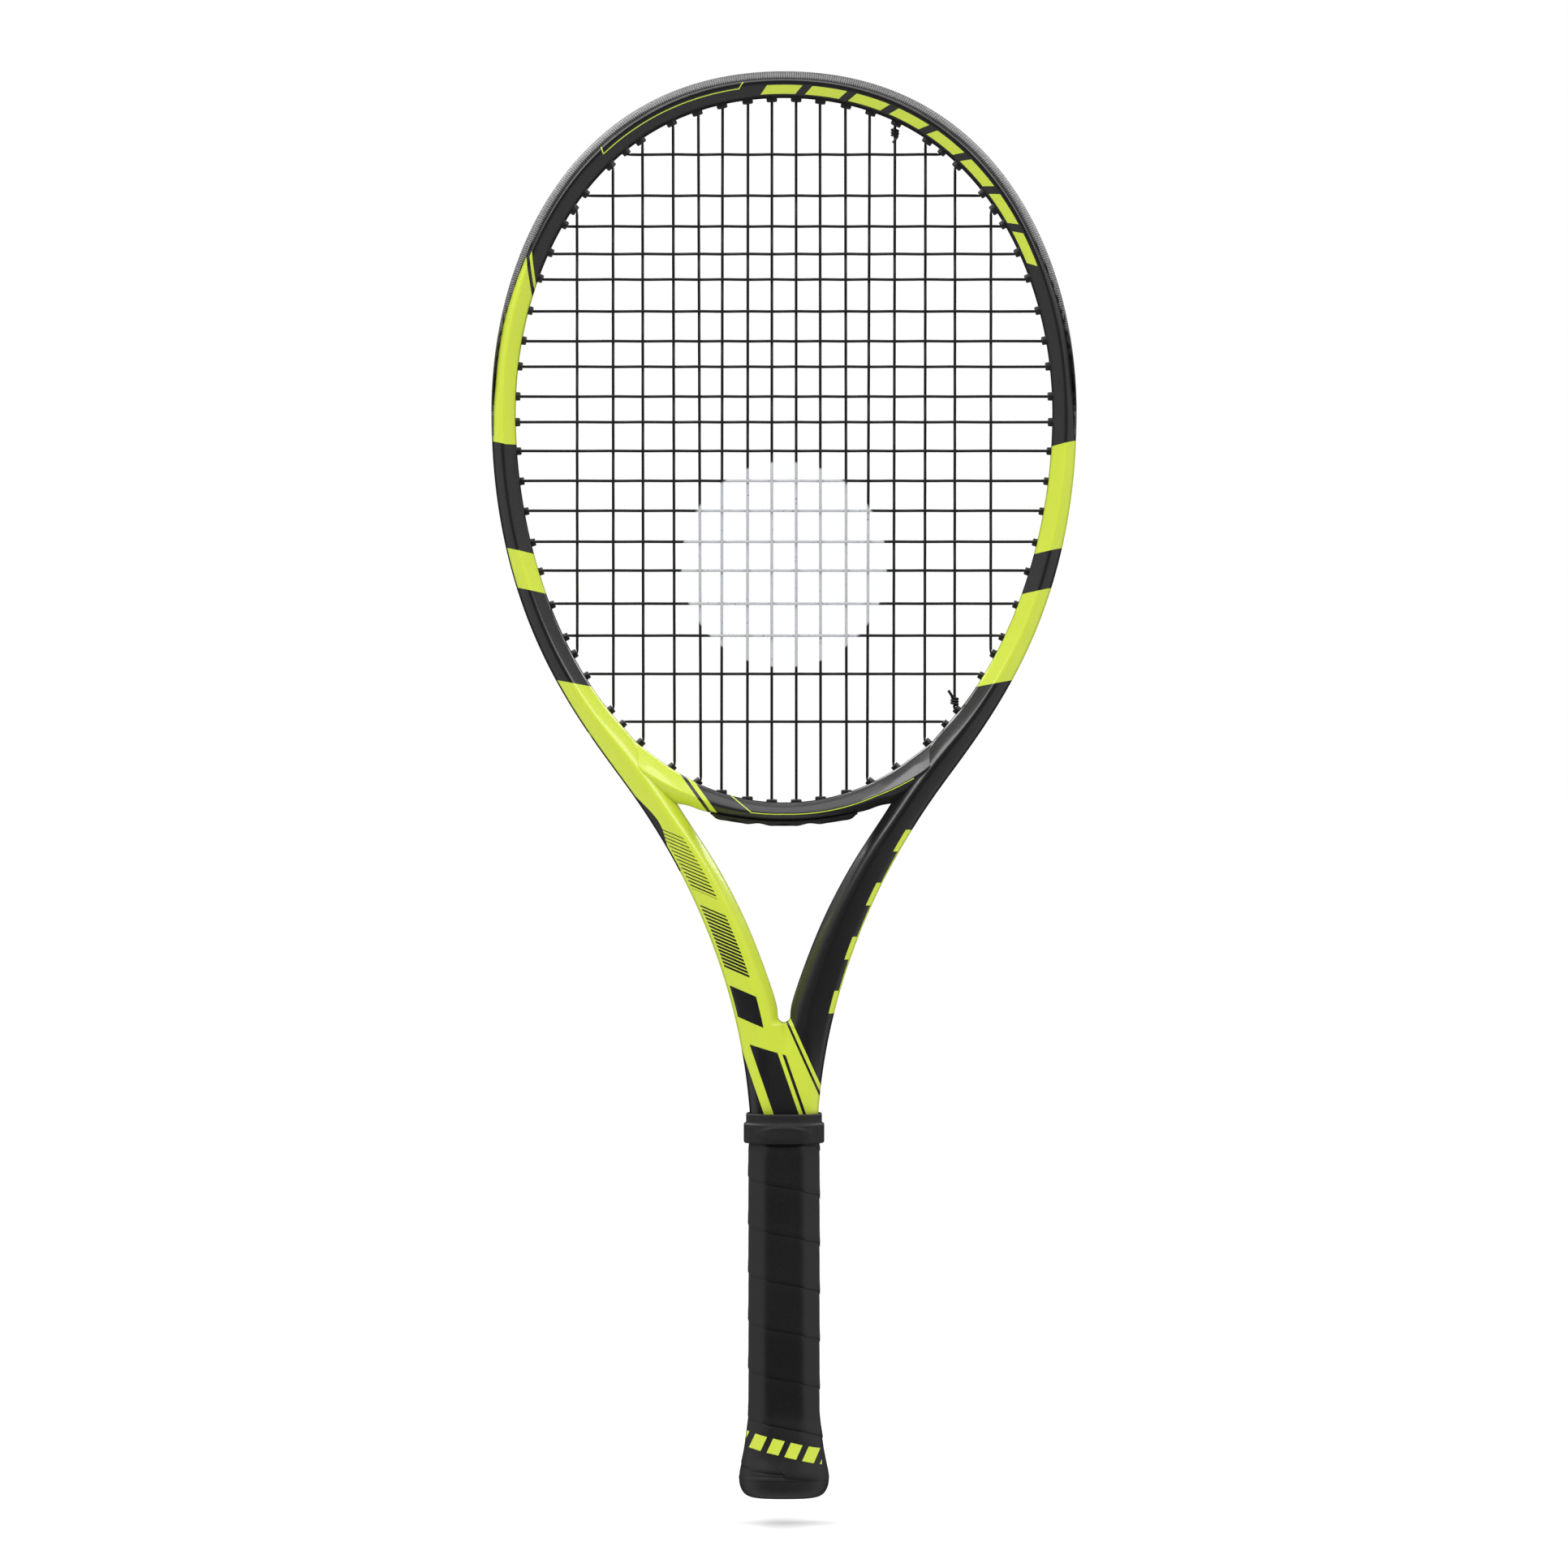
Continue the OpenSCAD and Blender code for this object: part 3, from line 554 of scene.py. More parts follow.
def grip_cover():
    m = Look("grip_cover", spec=0.55, sheen=0.03, sheen_rough=0.5)
    pores = m.cells(0.55).ramp(0.10, 0.45)
    crease = m.noise(1.6, 5, 0.65, (1, 1, 2.2))
    hand = m.noise(30, 3, 0.5, (1, 1, 0.6))
    cover = m.mix(hand * 0.55 + crease * 0.3, (0.003, 0.0028, 0.003), (0.008, 0.0077, 0.008))
    # A slanted row of plain printed bars across the front of the foot.
    row = m.z + 0.233 * m.x
    bar = m.x - 0.42 * row
    printed = row.within(19.9, 27.1) & ((bar / 8.2).frac() < 0.66) & (m.y < -6.0) & (m.x.abs() < 17.5)
    worn = m.noise(2.5, 6, 0.7).ramp(0.22, 0.34)
    m.color(m.mix(printed * worn, cover, LIME))
    m.link("Roughness", 0.34 + 0.14 * hand + 0.10 * crease)
    m.bump(pores * 0.6 + crease * 0.5 + printed * 1.5, 0.6, 0.07)
    return m.mat


def rubber():
    m = Look("collar_rubber", spec=0.35)
    dust = m.noise(4, 6, 0.7)
    fine = m.noise(0.35, 3)
    m.color(m.mix(dust * 0.8, (0.007, 0.007, 0.0075), (0.018, 0.018, 0.0185)))
    m.link("Roughness", 0.50 + 0.14 * dust)
    m.bump(fine, 0.5, 0.04)
    return m.mat


def steel():
    m = Look("staple_steel", metal=1.0, rough=0.3)
    brush = m.noise(0.25, 3, 0.6, (0.12, 1, 1))
    m.color(m.mix(brush, (0.62, 0.62, 0.64), (0.80, 0.80, 0.82)))
    m.link("Roughness", 0.22 + 0.2 * brush)
    m.bump(brush, 0.3, 0.01)
    return m.mat


def foam():
    m = Look("handle_foam", spec=0.3)
    cell = m.cells(0.7).ramp(0.0, 0.6)
    m.color(m.mix(cell * 0.6 + m.noise(8) * 0.4, (0.30, 0.295, 0.27), (0.44, 0.43, 0.40)))
    m.link("Roughness", 0.75 + 0.15 * cell)
    m.bump(cell, 0.8, 0.12)
    return m.mat


PAINT, STEEL, FOAM = frame_paint(), steel(), foam()
NYLON = plastic("grommet_nylon", (0.006, 0.006, 0.0065), (0.020, 0.020, 0.021), 0.38, grain=0.4, depth=0.02)
CAP = plastic("cap_plastic", (0.010, 0.010, 0.0105), (0.026, 0.026, 0.027), 0.40, grain=0.45, depth=0.035)
TAPE = plastic("tape", (0.014, 0.014, 0.015), (0.035, 0.035, 0.036), 0.30, grain=1.2, depth=0.03, wear=0.1)
MATERIALS = {
    "frame_paint": PAINT, "bridge_paint": PAINT, "bumper_nylon": bumper_nylon(), "grommet_nylon": NYLON,
    "string_polymer": string_polymer(), "grip_cover": grip_cover(), "cap_plastic": CAP,
    "collar_rubber": rubber(),
}

# ---------- frame

dense = np.linspace(0, 3, 3001)
dense_p = np.array([point(OUTER, t) for t in dense])
dense_s = np.concatenate([[0], np.cumsum(norm(np.diff(dense_p, axis=0), axis=1))])
open_p = np.array([point(OPENING, t) for t in np.linspace(0, 2, 1601)])


def t_at_height(z):
    """Place on the silhouette, below its widest point, at a height."""
    i = dense > 1
    return float(np.interp(-z, -dense_p[i][:, 1], dense[i]))


def way_to_opening(p, n):
    """Distance from a silhouette point to the opening's edge along a direction."""
    d = open_p - p
    along, off = d @ n, d @ vec(n[1], -n[0])
    ok = (along > 5) & (along < 25)
    k = np.where(ok[:-1] & ok[1:] & (off[:-1] * off[1:] <= 0))[0]
    if len(k) == 0:
        return None
    k = k[0]
    f = off[k] / (off[k] - off[k + 1]) if off[k] != off[k + 1] else 0
    return along[k] + (along[k + 1] - along[k]) * f


LEAVES = 356.0  # below this height the tube's inner side leaves the head's opening
ARMS = 300.0  # below this height the arms come together


def table_width(z):
    return HOOP_WIDTH + soft_look(EXTRA_WIDTHS, z)


def plain_width(t):
    """The tube's width: to the opening's edge at the hoop, and from the table at the arms."""
    p, n = rim(t)
    table = table_width(p[1])
    if p[1] < LEAVES - 9:
        return table
    w = way_to_opening(p, n)
    if w is None:
        return table
    return table + (w - table) * smooth(LEAVES - 9, LEAVES + 6, p[1])


# The V between the arms closes in a round notch.
V_BOTTOM, V_RADIUS, V_SOFTNESS = 219.6, 2.75, 0.45
arm_rims = [rim(t_at_height(z)) for z in np.arange(ARMS, 176.5, -0.5)]
inner = np.array([p + n * table_width(p[1]) for p, n in arm_rims])


def inner_x(z):
    """How far from the centre the arm's inner side is."""
    if z <= V_BOTTOM:
        return 0.0
    v = float(np.interp(-z, -inner[:, 1], inner[:, 0]))
    rise = min(z - V_BOTTOM, V_RADIUS)
    notch = math.sqrt(V_RADIUS**2 - (V_RADIUS - rise) ** 2)
    return (v + notch) / 2 + math.hypot((v - notch) / 2, V_SOFTNESS * rise / V_RADIUS)


def to_centre(p, n):
    return p[0] / -n[0]


SEAM = 1e-3  # a side nearer to the centre than this lies on it


def width(t):
    """The tube's width, or the way to the centre where the halves are one."""
    p, n = rim(t)
    if p[1] > ARMS:
        return plain_width(t)

    def in_tube(m):
        q = p + n * m
        return q[0] > inner_x(q[1])

    limit = to_centre(p, n)
    w = halve(in_tube, 0.0, limit)[1]
    return w if w < limit - SEAM else limit


# The section's corners by height, as shares of the width (a) and of the half depth (b).
SECTION = {
    "a2": [(190, 0.04), (222, 0.05), (345, 0.055), (400, 0.06)],
    "b2": [(185, 0.66), (222, 0.64), (345, 0.60), (400, 0.58)],
    "a3": [(190, 0.25), (205, 0.42), (230, 0.60), (300, 0.60), (345, 0.49), (390, 0.45)],
    "b3": [(185, 0.97), (205, 1.0)],
    "a4": [(190, 0.70), (222, 0.79), (300, 0.80), (345, 0.72), (400, 0.70)],
    "b4": [(190, 1.0), (222, 0.92), (300, 0.90), (345, 0.82), (400, 0.79)],
    "a5": [(190, 0.93), (222, 0.955), (400, 0.955)],
    "b5": [(194, 1.0), (206, 0.86), (222, 0.60), (300, 0.52), (345, 0.55), (400, 0.56)],
    "b6": [(194, 1.0), (206, 0.80), (222, 0.46), (300, 0.38), (345, 0.42), (400, 0.45)],
}
RADII = [0.3, 0.35, 2.4, 2.0, 2.0, 1.3, 0.7]


def body_half(t, z, w):
    """The section's front half, from the groove's floor to the inner side."""
    f = w if z > ARMS else min(plain_width(t), to_centre(*rim(t)))
    h = look(HALF_DEPTHS, z)
    r = recess(t)
    s = {k: soft_look(v, z, 4) for k, v in SECTION.items()}
    return [
        (r + groove(t), 2.3), (r, 2.9), (r + s["a2"] * f, s["b2"] * h), (s["a3"] * f, s["b3"] * h),
        (s["a4"] * f, s["b4"] * h), (w - (1 - s["a5"]) * f, s["b5"] * h), (w, s["b6"] * h),
    ]


def whole(half):
    half = np.array(half, float)
    return np.vstack([half, half[::-1] * [1, -1]])


def section(half, radii, n=4):
    return rounded(whole(half), radii + radii[::-1], n)


def station(origin, normal, outline, s, w):
    """A ring in space and its run attribute: way along, way across and the tube's width."""
    across, depth = outline.T
    ring = np.column_stack([origin[0] + normal[0] * across, depth, origin[1] + normal[1] * across])
    return ring, np.column_stack([np.full(len(outline), s), across, np.full(len(outline), w)])


heights = np.concatenate([
    np.arange(500, 232, -1.6), np.arange(232, 214, -0.45), np.arange(214, 176.4, -2.0)])
places = list(np.linspace(0, 1, 110)) + [t_at_height(z) for z in heights] + [3.0]
stations, length, last = [], 0.0, TIP
for t in places:
    p, n = rim(t)
    w = width(t)
    length += float(norm(p - last))
    last = p
    meets = n[0] < -0.3 and w >= to_centre(p, n) - SEAM
    radii = RADII[:-1] + [LEAST_RADIUS if meets else RADII[-1]]
    ring, attr = station(p, n, section(body_half(t, p[1], w), radii), length, w)
    if meets:
        ring[:, 0] = np.where(np.abs(ring[:, 0]) < LEAST_RADIUS, 0, ring[:, 0])
    stations.append((ring, attr))
# Below the shaft the tube goes on as two legs inside the handle: height, half width and half depth.
LEGS = [(174.0, 15.7, 10.9), (172.2, 12.2, 9.2), (168, 12.0, 9.2), (14.0, 12.0, 9.2)]
for z, x, h in LEGS:
    half = [(0.02, 2.3), (0, 2.9), (0.06 * x, 0.62 * h), (0.3 * x, h), (0.7 * x, h),
            (0.93 * x, h), (x, h)]
    stations.append(station(vec(x, z), vec(-1, 0), section(half, RADII), length + 175 - z, x))
half_body = Shape()
half_body.sweep(stations, caps=False)
points = half_body.v[0]
# Faces on the centre plane would be inside the whole tube.
half_body.f = [f for f in half_body.f if not all(abs(points[i][0]) < 0.021 for i in f)]
round_count = len(stations[0][0])
half_body.f.append(tuple(range((len(stations) - 1) * round_count, len(stations) * round_count)))
body = Shape()
body.add(points, half_body.f, half_body.a[0])
body.mirror(half_body)
piece("frame_shell", body, "frame_tube", "frame_paint", merge=0.03)


def bridge_low(x):
    return BRIDGE_BOTTOM + 6 * (x / 42) ** 2


# The throat bridge carries on the head's oval between the arms. By distance from the centre:
BRIDGE_WIDTHS = [(0, 8.6), (30, 8.9), (36, 9.6), (41, 11.4), (45, 13.4), (50, 14.6), (60, 14.6), (80, 14.0)]
BRIDGE_HALF_DEPTHS = [(0, 10.6), (34, 10.9), (60, 12.0), (80, 12.0)]
BRIDGE_RIDGE = [(0, 5.4), (40, 6.4), (60, 8.6), (80, 8.8)]
BRIDGE_REACH = 80
stations = []
for x in np.arange(-BRIDGE_REACH, BRIDGE_REACH + 0.01, 1.0):
    far = abs(x)
    t = find(OPENING, 0, far, 1, 2)
    q, n = point(OPENING, t), -inward(OPENING, t)
    if x < 0:
        q, n = q * [-1, 1], n * [-1, 1]

    def in_bridge(m):
        r = q + n * m
        return not r[1] < bridge_low(r[0])

    sink = smooth(58, 70, far)  # its ends sink into the arms
    h = look(BRIDGE_HALF_DEPTHS, far) * (1 - 0.13 * sink)
    w = soft_look(BRIDGE_WIDTHS, far, 3)
    w += (halve(in_bridge, 4.0, 20.0, 30)[0] - w) * (1 - smooth(34, 44, far))
    ridge = look(BRIDGE_RIDGE, far)
    d = -0.06 + 0.6 * sink
    half = [(d, 0.45 * h), (d + 0.05 * w, 0.56 * h), (d + 0.5 * ridge, 0.80 * h), (ridge, h),
            (0.5 * (ridge + w), 0.80 * h), (w - 0.25, 0.50 * h), (w, 0.34 * h)]
    stations.append(station(q, n, section(half, [0.6, 1.0, 1.5, 0.9, 1.5, 1.0, 0.7]), -5.0 - far, ridge))
bridge = Shape()
bridge.sweep(stations)
piece("bridge_shell", bridge, "throat_bridge", "bridge_paint")

# ---------- string holes

MAINS = [5.7, 17, 29, 40.5, 52.5, 67, 81, 98]
CROSSES = [
    624, 604.5, 590, 577, 565, 550, 536, 524, 510, 498, 484.5, 470.5, 456.5, 442, 428.5, 413, 398, 380, 357.5,
]
BRIDGE_MAINS = 3
LEANS = [(40.5, 27), (52.5, 13), (67, 4), (81, 0)]
STRING_D, LANE = 1.3, 1.36
BARREL_D, BARREL_PROUD = 3.6, 2.2
BRIDGE_BARREL_D, BRIDGE_BARREL_PROUD = 4.8, 1.4
BOTTOM_TIE, TOP_TIE = 6, 4
MOUTH_GAP = 0.2


def turned(d, angle):
    a = math.radians(angle)
    return vec(d[0] * math.cos(a) - d[1] * math.sin(a), d[0] * math.sin(a) + d[1] * math.cos(a))


def way_out(p, d):
    """How far from p the silhouette is along d."""

    def inside(m):
        q = p + d * m
        return not q[0] > point(OUTER, find(OUTER, 1, q[1], 0, 3, 26))[0]

    return sum(halve(inside, 4.0, 60.0, 30)) / 2


def hoop_hole(t, lean=0.0):
    """A hole's mouth at the opening, its way out, its length to the seat, its place on the silhouette."""
    q = point(OPENING, t)
    d = turned(-inward(OPENING, t), lean)
    s = way_out(q, d)
    place = find(OUTER, 1, (q + d * s)[1], 0, 3)
    slant = float(-inward(OUTER, place) @ d)
    return q, d, s - (recess(place) + groove(place)) / slant, place


def bridge_hole(x):
    q = point(OPENING, find(OPENING, 0, x, 1, 2))
    return q, vec(0, -1), q[1] - bridge_low(x), 0


TOPS = [hoop_hole(find(OPENING, 0, x, 0, 1)) for x in MAINS]
BOTTOMS = [bridge_hole(x) for x in MAINS[:BRIDGE_MAINS]]
BOTTOMS += [hoop_hole(find(OPENING, 0, x, 1, 2), look(LEANS, x)) for x in MAINS[BRIDGE_MAINS:]]
SIDES = [hoop_hole(find(OPENING, 1, z, 0, 2)) for z in CROSSES]


def sided(h, right):
    return h if right else (h[0] * [-1, 1], h[1] * [-1, 1], h[2], -h[3])


def at(h, way, y=0.0):
    p = h[0] + h[1] * way
    return vec(p[0], y, p[1])


def mouth(h, proud):
    return at(h, -proud - MOUTH_GAP)


# ---------- bumper, strips and barrels

CHANNEL = (1.95, 2.35)  # half of the string channel's width, at its floor and at its mouth


def barrel(shape, hole, wide=1.0, tie=False, d=BARREL_D, proud=BARREL_PROUD):
    """A grommet barrel with a rounded rim; the bore of a tie-off barrel takes two strings."""
    way, b = vec(hole[1][0], 0, hole[1][1]), vec(0, 1, 0)
    a = np.cross(way, b)
    r, bore_r = d / 2, STRING_D / 2 + 0.16
    turn = np.arange(20) * 2 * math.pi / 20
    circle = np.cos(turn)[:, None] * a * wide + np.sin(turn)[:, None] * b
    bore = np.cos(turn)[:, None] * a + np.sin(turn)[:, None] * b
    base = vec(hole[0][0], LANE / 2 if tie else 0, hole[0][1])
    deep = hole[2] + BASE * 0.5
    rim_wide, bore_wide = (1.5, 1.4) if tie else (1.18, 1)
    foot = base + way * deep + circle * r * 0.9
    levels = [(1.0, 0.97), (0.3, 1.0), (-0.1, 1.02), (-proud * 0.7, 0.985), (-proud + 0.28, 0.97),
              (-proud + 0.08, 0.91), (-proud, 0.80)]
    rings = [foot] + [base + way * level + circle * (r * share) for level, share in levels]
    for level, share in ((-proud + 0.02, rim_wide), (-proud + 0.22, bore_wide), (deep, bore_wide)):
        rings.append(base + way * level + bore * bore_r * share)
    shape.loft(rings + [foot], closed=True)


def swept(places, half_of, radii):
    """Stations along the silhouette; a negative place is on the left."""
    stations = []
    for t in places:
        p, n = rim(abs(t))
        if t < 0:
            p, n = p * [-1, 1], n * [-1, 1]
        s = math.copysign(float(np.interp(abs(t), dense, dense_s)), t)
        stations.append(station(p, n, section(half_of(abs(t)), radii, 3), s, 1.0))
    return stations


def lip(z):
    """How far the bumper reaches over the hoop's front."""
    return look([(488, 0.9), (520, 1.3), (548, 2.0), (566, 3.0), (584, 3.7), (661, 3.8)], z)


def bumper_half(t):
    z = point(OUTER, t)[1]
    w, h, e = width(t), look(HALF_DEPTHS, z), lip(z)
    r = recess(t)
    g = r + groove(t)
    a2, b2 = r + 0.06 * w, 0.58 * h
    if e > a2:
        under = b2 + (h - b2) * ((e - a2) / (0.45 * w - a2))
    else:
        under = 2.9 + (b2 - 2.9) * max(0.0, (e - r) / (a2 - r))
    deep = min(e, a2)
    return [
        (g - BASE, CHANNEL[0]), (0.3 * r, CHANNEL[1]), (0.02, 3.1), (0.0, 3.9),
        (0.22 * e * 0.6, 0.46 * h), (min(0.32 * e, 1.15), 0.60 * h),
        (e - 0.45, under + 0.62 * min(1, r + 0.25)), (e + 0.25, under + 0.05), (e - 0.1, under - 0.7),
        (deep * 0.72 + 0.7, min(0.5 * h, under - 0.9)), (r + 0.35, 2.5), (g - 0.1, 2.2),
    ]


bumper_t = list(np.linspace(0, BUMPER_END - 0.012, 150))
bumper_t = [-t for t in bumper_t[:0:-1]] + bumper_t
shape = Shape()
shape.sweep(swept(bumper_t, bumper_half, [0.1, 0.2, 0.3, 0.6, 1.0, 1.2, 0.5, 0.2, 0.2, 0.3, 0.2, 0.1]))
for right in (True, False):
    for i, hole in enumerate(TOPS):
        barrel(shape, sided(hole, right), 1.38, right and i == TOP_TIE)
    for hole in SIDES:
        if hole[3] < BUMPER_END:
            barrel(shape, sided(hole, right), 1.1)
piece("bumper_shell", shape, "bumper_guard", "bumper_nylon", sharp=50)


def strip_half(t):
    g = groove(t)
    return [
        (g - BASE, CHANNEL[0]), (0.03, CHANNEL[1]), (0, 2.6), (0.03, 2.86), (0.35, 2.8),
        (g - 0.03, 2.26),
    ]


for right in (True, False):
    strip_t = list(np.linspace(BUMPER_END, STRIP_END, 120))
    if not right:
        strip_t = [-t for t in strip_t[::-1]]
    shape = Shape()
    shape.sweep(swept(strip_t, strip_half, [0.1, 0.15, 0.15, 0.15, 0.1, 0.1]))
    for hole in SIDES:
        if hole[3] > BUMPER_END:
            barrel(shape, sided(hole, right))
    for i in range(BRIDGE_MAINS, len(MAINS)):
        barrel(shape, sided(BOTTOMS[i], right), 1.1, right and i == BOTTOM_TIE)
    name = "right" if right else "left"
    piece("strip_shell_" + name, shape, "grommet_strip_" + name, "grommet_nylon", sharp=50)

# The bridge's strip has a scalloped lower edge between its holes.
STRIP_REACH, SCALLOP = 34.0, 11.6
stations = []
for x in np.linspace(-STRIP_REACH, STRIP_REACH, 137):
    dip = 0.5 - 0.5 * math.cos(2 * math.pi * (abs(x) - MAINS[0]) / SCALLOP)
    end = smooth(STRIP_REACH, STRIP_REACH - 3, abs(x))
    d = (2.4 - 0.85 * dip) * (0.45 + 0.55 * end)
    half = [(min(BASE, d * 0.6), CHANNEL[0]), (d, CHANNEL[1]), (d, 3.4), (d * 0.6, 5.6),
            (0.25, 6.5), (-0.25, 6.4)]
    slope = vec(12 * x / 42**2, 1)
    n = vec(slope[0], -1) / norm(slope)
    outline = rounded(whole(half), [0.1, 0.15, 0.4, 0.6, 0.15, 0.1] * 2, 3)
    stations.append(station(vec(x, bridge_low(x)), n, outline, x, 1))
shape = Shape()
shape.sweep(stations)
for right in (True, False):
    for hole in BOTTOMS[:BRIDGE_MAINS]:
        barrel(shape, sided(hole, right), 1.05, d=BRIDGE_BARREL_D, proud=BRIDGE_BARREL_PROUD)
piece("throat_strip_shell", shape, "throat_grommet_strip", "grommet_nylon", sharp=50)

# ---------- strings

R = STRING_D / 2
# How far below its seat a string's hidden end is, and the middle of a turn outside the hoop.
END, RUN = BASE - 0.4, BASE + R + 0.05
MAIN_BEND, CROSS_BEND = 0.62, 0.76


def proud_of(i):
    return BRIDGE_BARREL_PROUD if i < BRIDGE_MAINS else BARREL_PROUD


def main_ends(i):
    return mouth(TOPS[i], BARREL_PROUD), mouth(BOTTOMS[i], proud_of(i))


def main_x(i, z):
    a, b = main_ends(i)
    return a[0] + (b[0] - a[0]) * (z - a[2]) / (b[2] - a[2])


def crossings(k):
    """Where cross k passes the mains, from left to right: x, which main, and the side it takes."""
    m = mouth(SIDES[k], BARREL_PROUD)
    xs = [(-main_x(i, m[2]), n) for n, i in enumerate(range(len(MAINS) - 1, -1, -1))]
    xs += [(main_x(i, m[2]), n + len(MAINS)) for n, i in enumerate(range(len(MAINS)))]
    return m, [(x, n, 1 if (n + k) % 2 == 0 else -1) for x, n in xs if abs(x) < m[0] - 2.5]


def woven(a, b, knots):
    """A path from a to b whose Y eases between the knots (place from 0 to 1, offset)."""
    f = np.linspace(0, 1, max(12, int(norm(b - a) / 1.6)) + 1)
    kf, ky = np.array([(0.0, 0.0)] + knots + [(1.0, 0.0)]).T
    i = np.clip(np.searchsorted(kf, f, side="right") - 1, 0, len(kf) - 2)
    g = np.clip((f - kf[i]) / (kf[i + 1] - kf[i]), 0, 1)
    ease = 0.5 - 0.5 * np.cos(math.pi * g)
    ease = np.where(i == len(kf) - 2, 1 - np.cos(g * math.pi / 2), ease)
    ease = np.where(i == 0, np.sin(g * math.pi / 2), ease)
    path = a + (b - a) * f[:, None]
    path[:, 1] += ky[i] + (ky[i + 1] - ky[i]) * ease
    return path


passes = {}
shape = Shape()
for row, hole in enumerate(SIDES):
    m, hits = crossings(row)
    a, b = m * [-1, 1, 1], m
    knots = []
    for x, n, s in hits:
        knots.append(((x - a[0]) / (b[0] - a[0]), s * CROSS_BEND))
        passes.setdefault(n, []).append((m[2], -s * MAIN_BEND))
    end = at(hole, hole[2] + END)
    shape.loft(tube(np.vstack([end * [-1, 1, 1], woven(a, b, knots), end]), R))
piece("cross_strings_woven", shape, "cross_strings", "string_polymer", sharp=60)
shape = Shape()
for n in range(2 * len(MAINS)):
    right = n >= len(MAINS)
    i = n - len(MAINS) if right else len(MAINS) - 1 - n
    side = [1 if right else -1, 1, 1]
    a, b = (end * side for end in main_ends(i))
    knots = sorted((float((z - a[2]) / (b[2] - a[2])), y) for z, y in passes[n])
    first, last = at(TOPS[i], TOPS[i][2] + END) * side, at(BOTTOMS[i], BOTTOMS[i][2] + END) * side
    shape.loft(tube(np.vstack([first, woven(a, b, knots), last]), R))
piece("main_strings_woven", shape, "main_strings", "string_polymer", sharp=60)


# Outside the hoop the string turns from one hole to the next, in a lane of its own past a hole.
def groove_point(t, y):
    p, n = rim(abs(t))
    q = p + n * (recess(abs(t)) + groove(abs(t)) - RUN)
    return vec(q[0] * (-1 if t < 0 else 1), y, q[1])


def turn_path(a, b, y=0.0, end_y=0.0):
    """The turn from hole a to hole b in lane y; end_y is the lane in which it enters b."""
    start, stop = at(a, a[2] + RUN), at(b, b[2] + RUN, end_y)
    f = 4 / norm(stop - start)
    stops = (0.25, 0.5, 0.75)
    if y != 0:
        stops = (f, 0.35, 0.5, 0.65, 1 - f) if end_y == 0 else (f, 0.3, 0.5, 0.7, 0.85)
    if a[3] == 0:
        xs = [a[0][0] + (b[0][0] - a[0][0]) * s for s in stops]
        mids = [vec(x, 0, bridge_low(x) - RUN) for x in xs]
    else:
        mids = [groove_point(a[3] + (b[3] - a[3]) * s, y) for s in stops]
    first, final = at(a, a[2] + END), at(b, b[2] + END, end_y)
    # The corner where the strand leaves its hole is rounded.
    near, far = start + (mids[0] - start) * 0.12, stop + (mids[-1] - stop) * 0.12
    begin, close = first + (start - first) * 0.8, final + (stop - final) * 0.8
    return curve_through([first, begin, near] + mids + [far, close, final], 0.8)


def turn(holes, i, j, right, y=0.0, end_y=0.0):
    return turn_path(sided(holes[i], right), sided(holes[j], right), y, end_y)


LAST_MAIN, LAST_CROSS = len(MAINS) - 1, len(CROSSES) - 1
turns = [turn_path(sided(BOTTOMS[0], False), BOTTOMS[0])]
for right in (False, True):
    turns += [turn(TOPS, i, i + 1, right) for i in (0, 2, 4)]
    turns += [turn(BOTTOMS, i, i + 1, right) for i in (1, 3)]
    turns.append(turn(TOPS, LAST_MAIN - 1, LAST_MAIN, right, -LANE))
    turns.append(turn(BOTTOMS, LAST_MAIN - 2, LAST_MAIN - 1, right, LANE if right else -LANE))
turns += [turn(SIDES, k, k - 1, True) for k in range(4, LAST_CROSS - 1, 2)]
turns += [turn(SIDES, k, k - 1, False) for k in range(3, LAST_CROSS - 2, 2)]
turns += [
    turn(SIDES, LAST_CROSS, LAST_CROSS - 1, True, -LANE),
    turn(SIDES, LAST_CROSS - 1, LAST_CROSS - 2, False, -LANE),
    turn(SIDES, 2, 1, True, LANE),
    turn(SIDES, 1, 0, False, LANE),
    turn_path(sided(BOTTOMS[LAST_MAIN], False), sided(SIDES[LAST_CROSS], False), LANE),
    turn(BOTTOMS, LAST_MAIN, BOTTOM_TIE, True, LANE, LANE),
    turn_path(SIDES[0], TOPS[TOP_TIE], LANE, LANE),
]
shape = Shape()
for path in turns:
    shape.loft(tube(path, R))
piece("string_turns_round", shape, "string_turns", "string_polymer", sharp=60)

# A tied end is wound round the main string beside it and ends in a short tail.
shape = Shape()
for hole, up in ((BOTTOMS[BOTTOM_TIE], 1), (TOPS[TOP_TIE], -1)):
    m = mouth(hole, BARREL_PROUD)
    path = [at(hole, hole[2] + END, LANE), m + [0, LANE, 0], m + [0, LANE, up * 1.1]]
    for j in range(1, 30):
        w = j * 2 * math.pi / 11
        path.append(m + [up * LANE * math.sin(w), LANE * math.cos(w), up * (1.4 + 1.22 * w / (2 * math.pi))])
    end = path[-1]
    path += [end + vec(-0.3, -1.2, up * 0.9), end + vec(-1.0, -1.9, up * 2.0), end + vec(-1.9, -2.3, up * 3.4)]
    shape.loft(tube(curve_through(path, 0.35), R, 10))
piece("string_knots_wound", shape, "string_knots", "string_polymer", sharp=60)

# ---------- handle

GRIP_WIDTH, SQUARENESS, BEVEL = 33.1, 2.6, 0.239


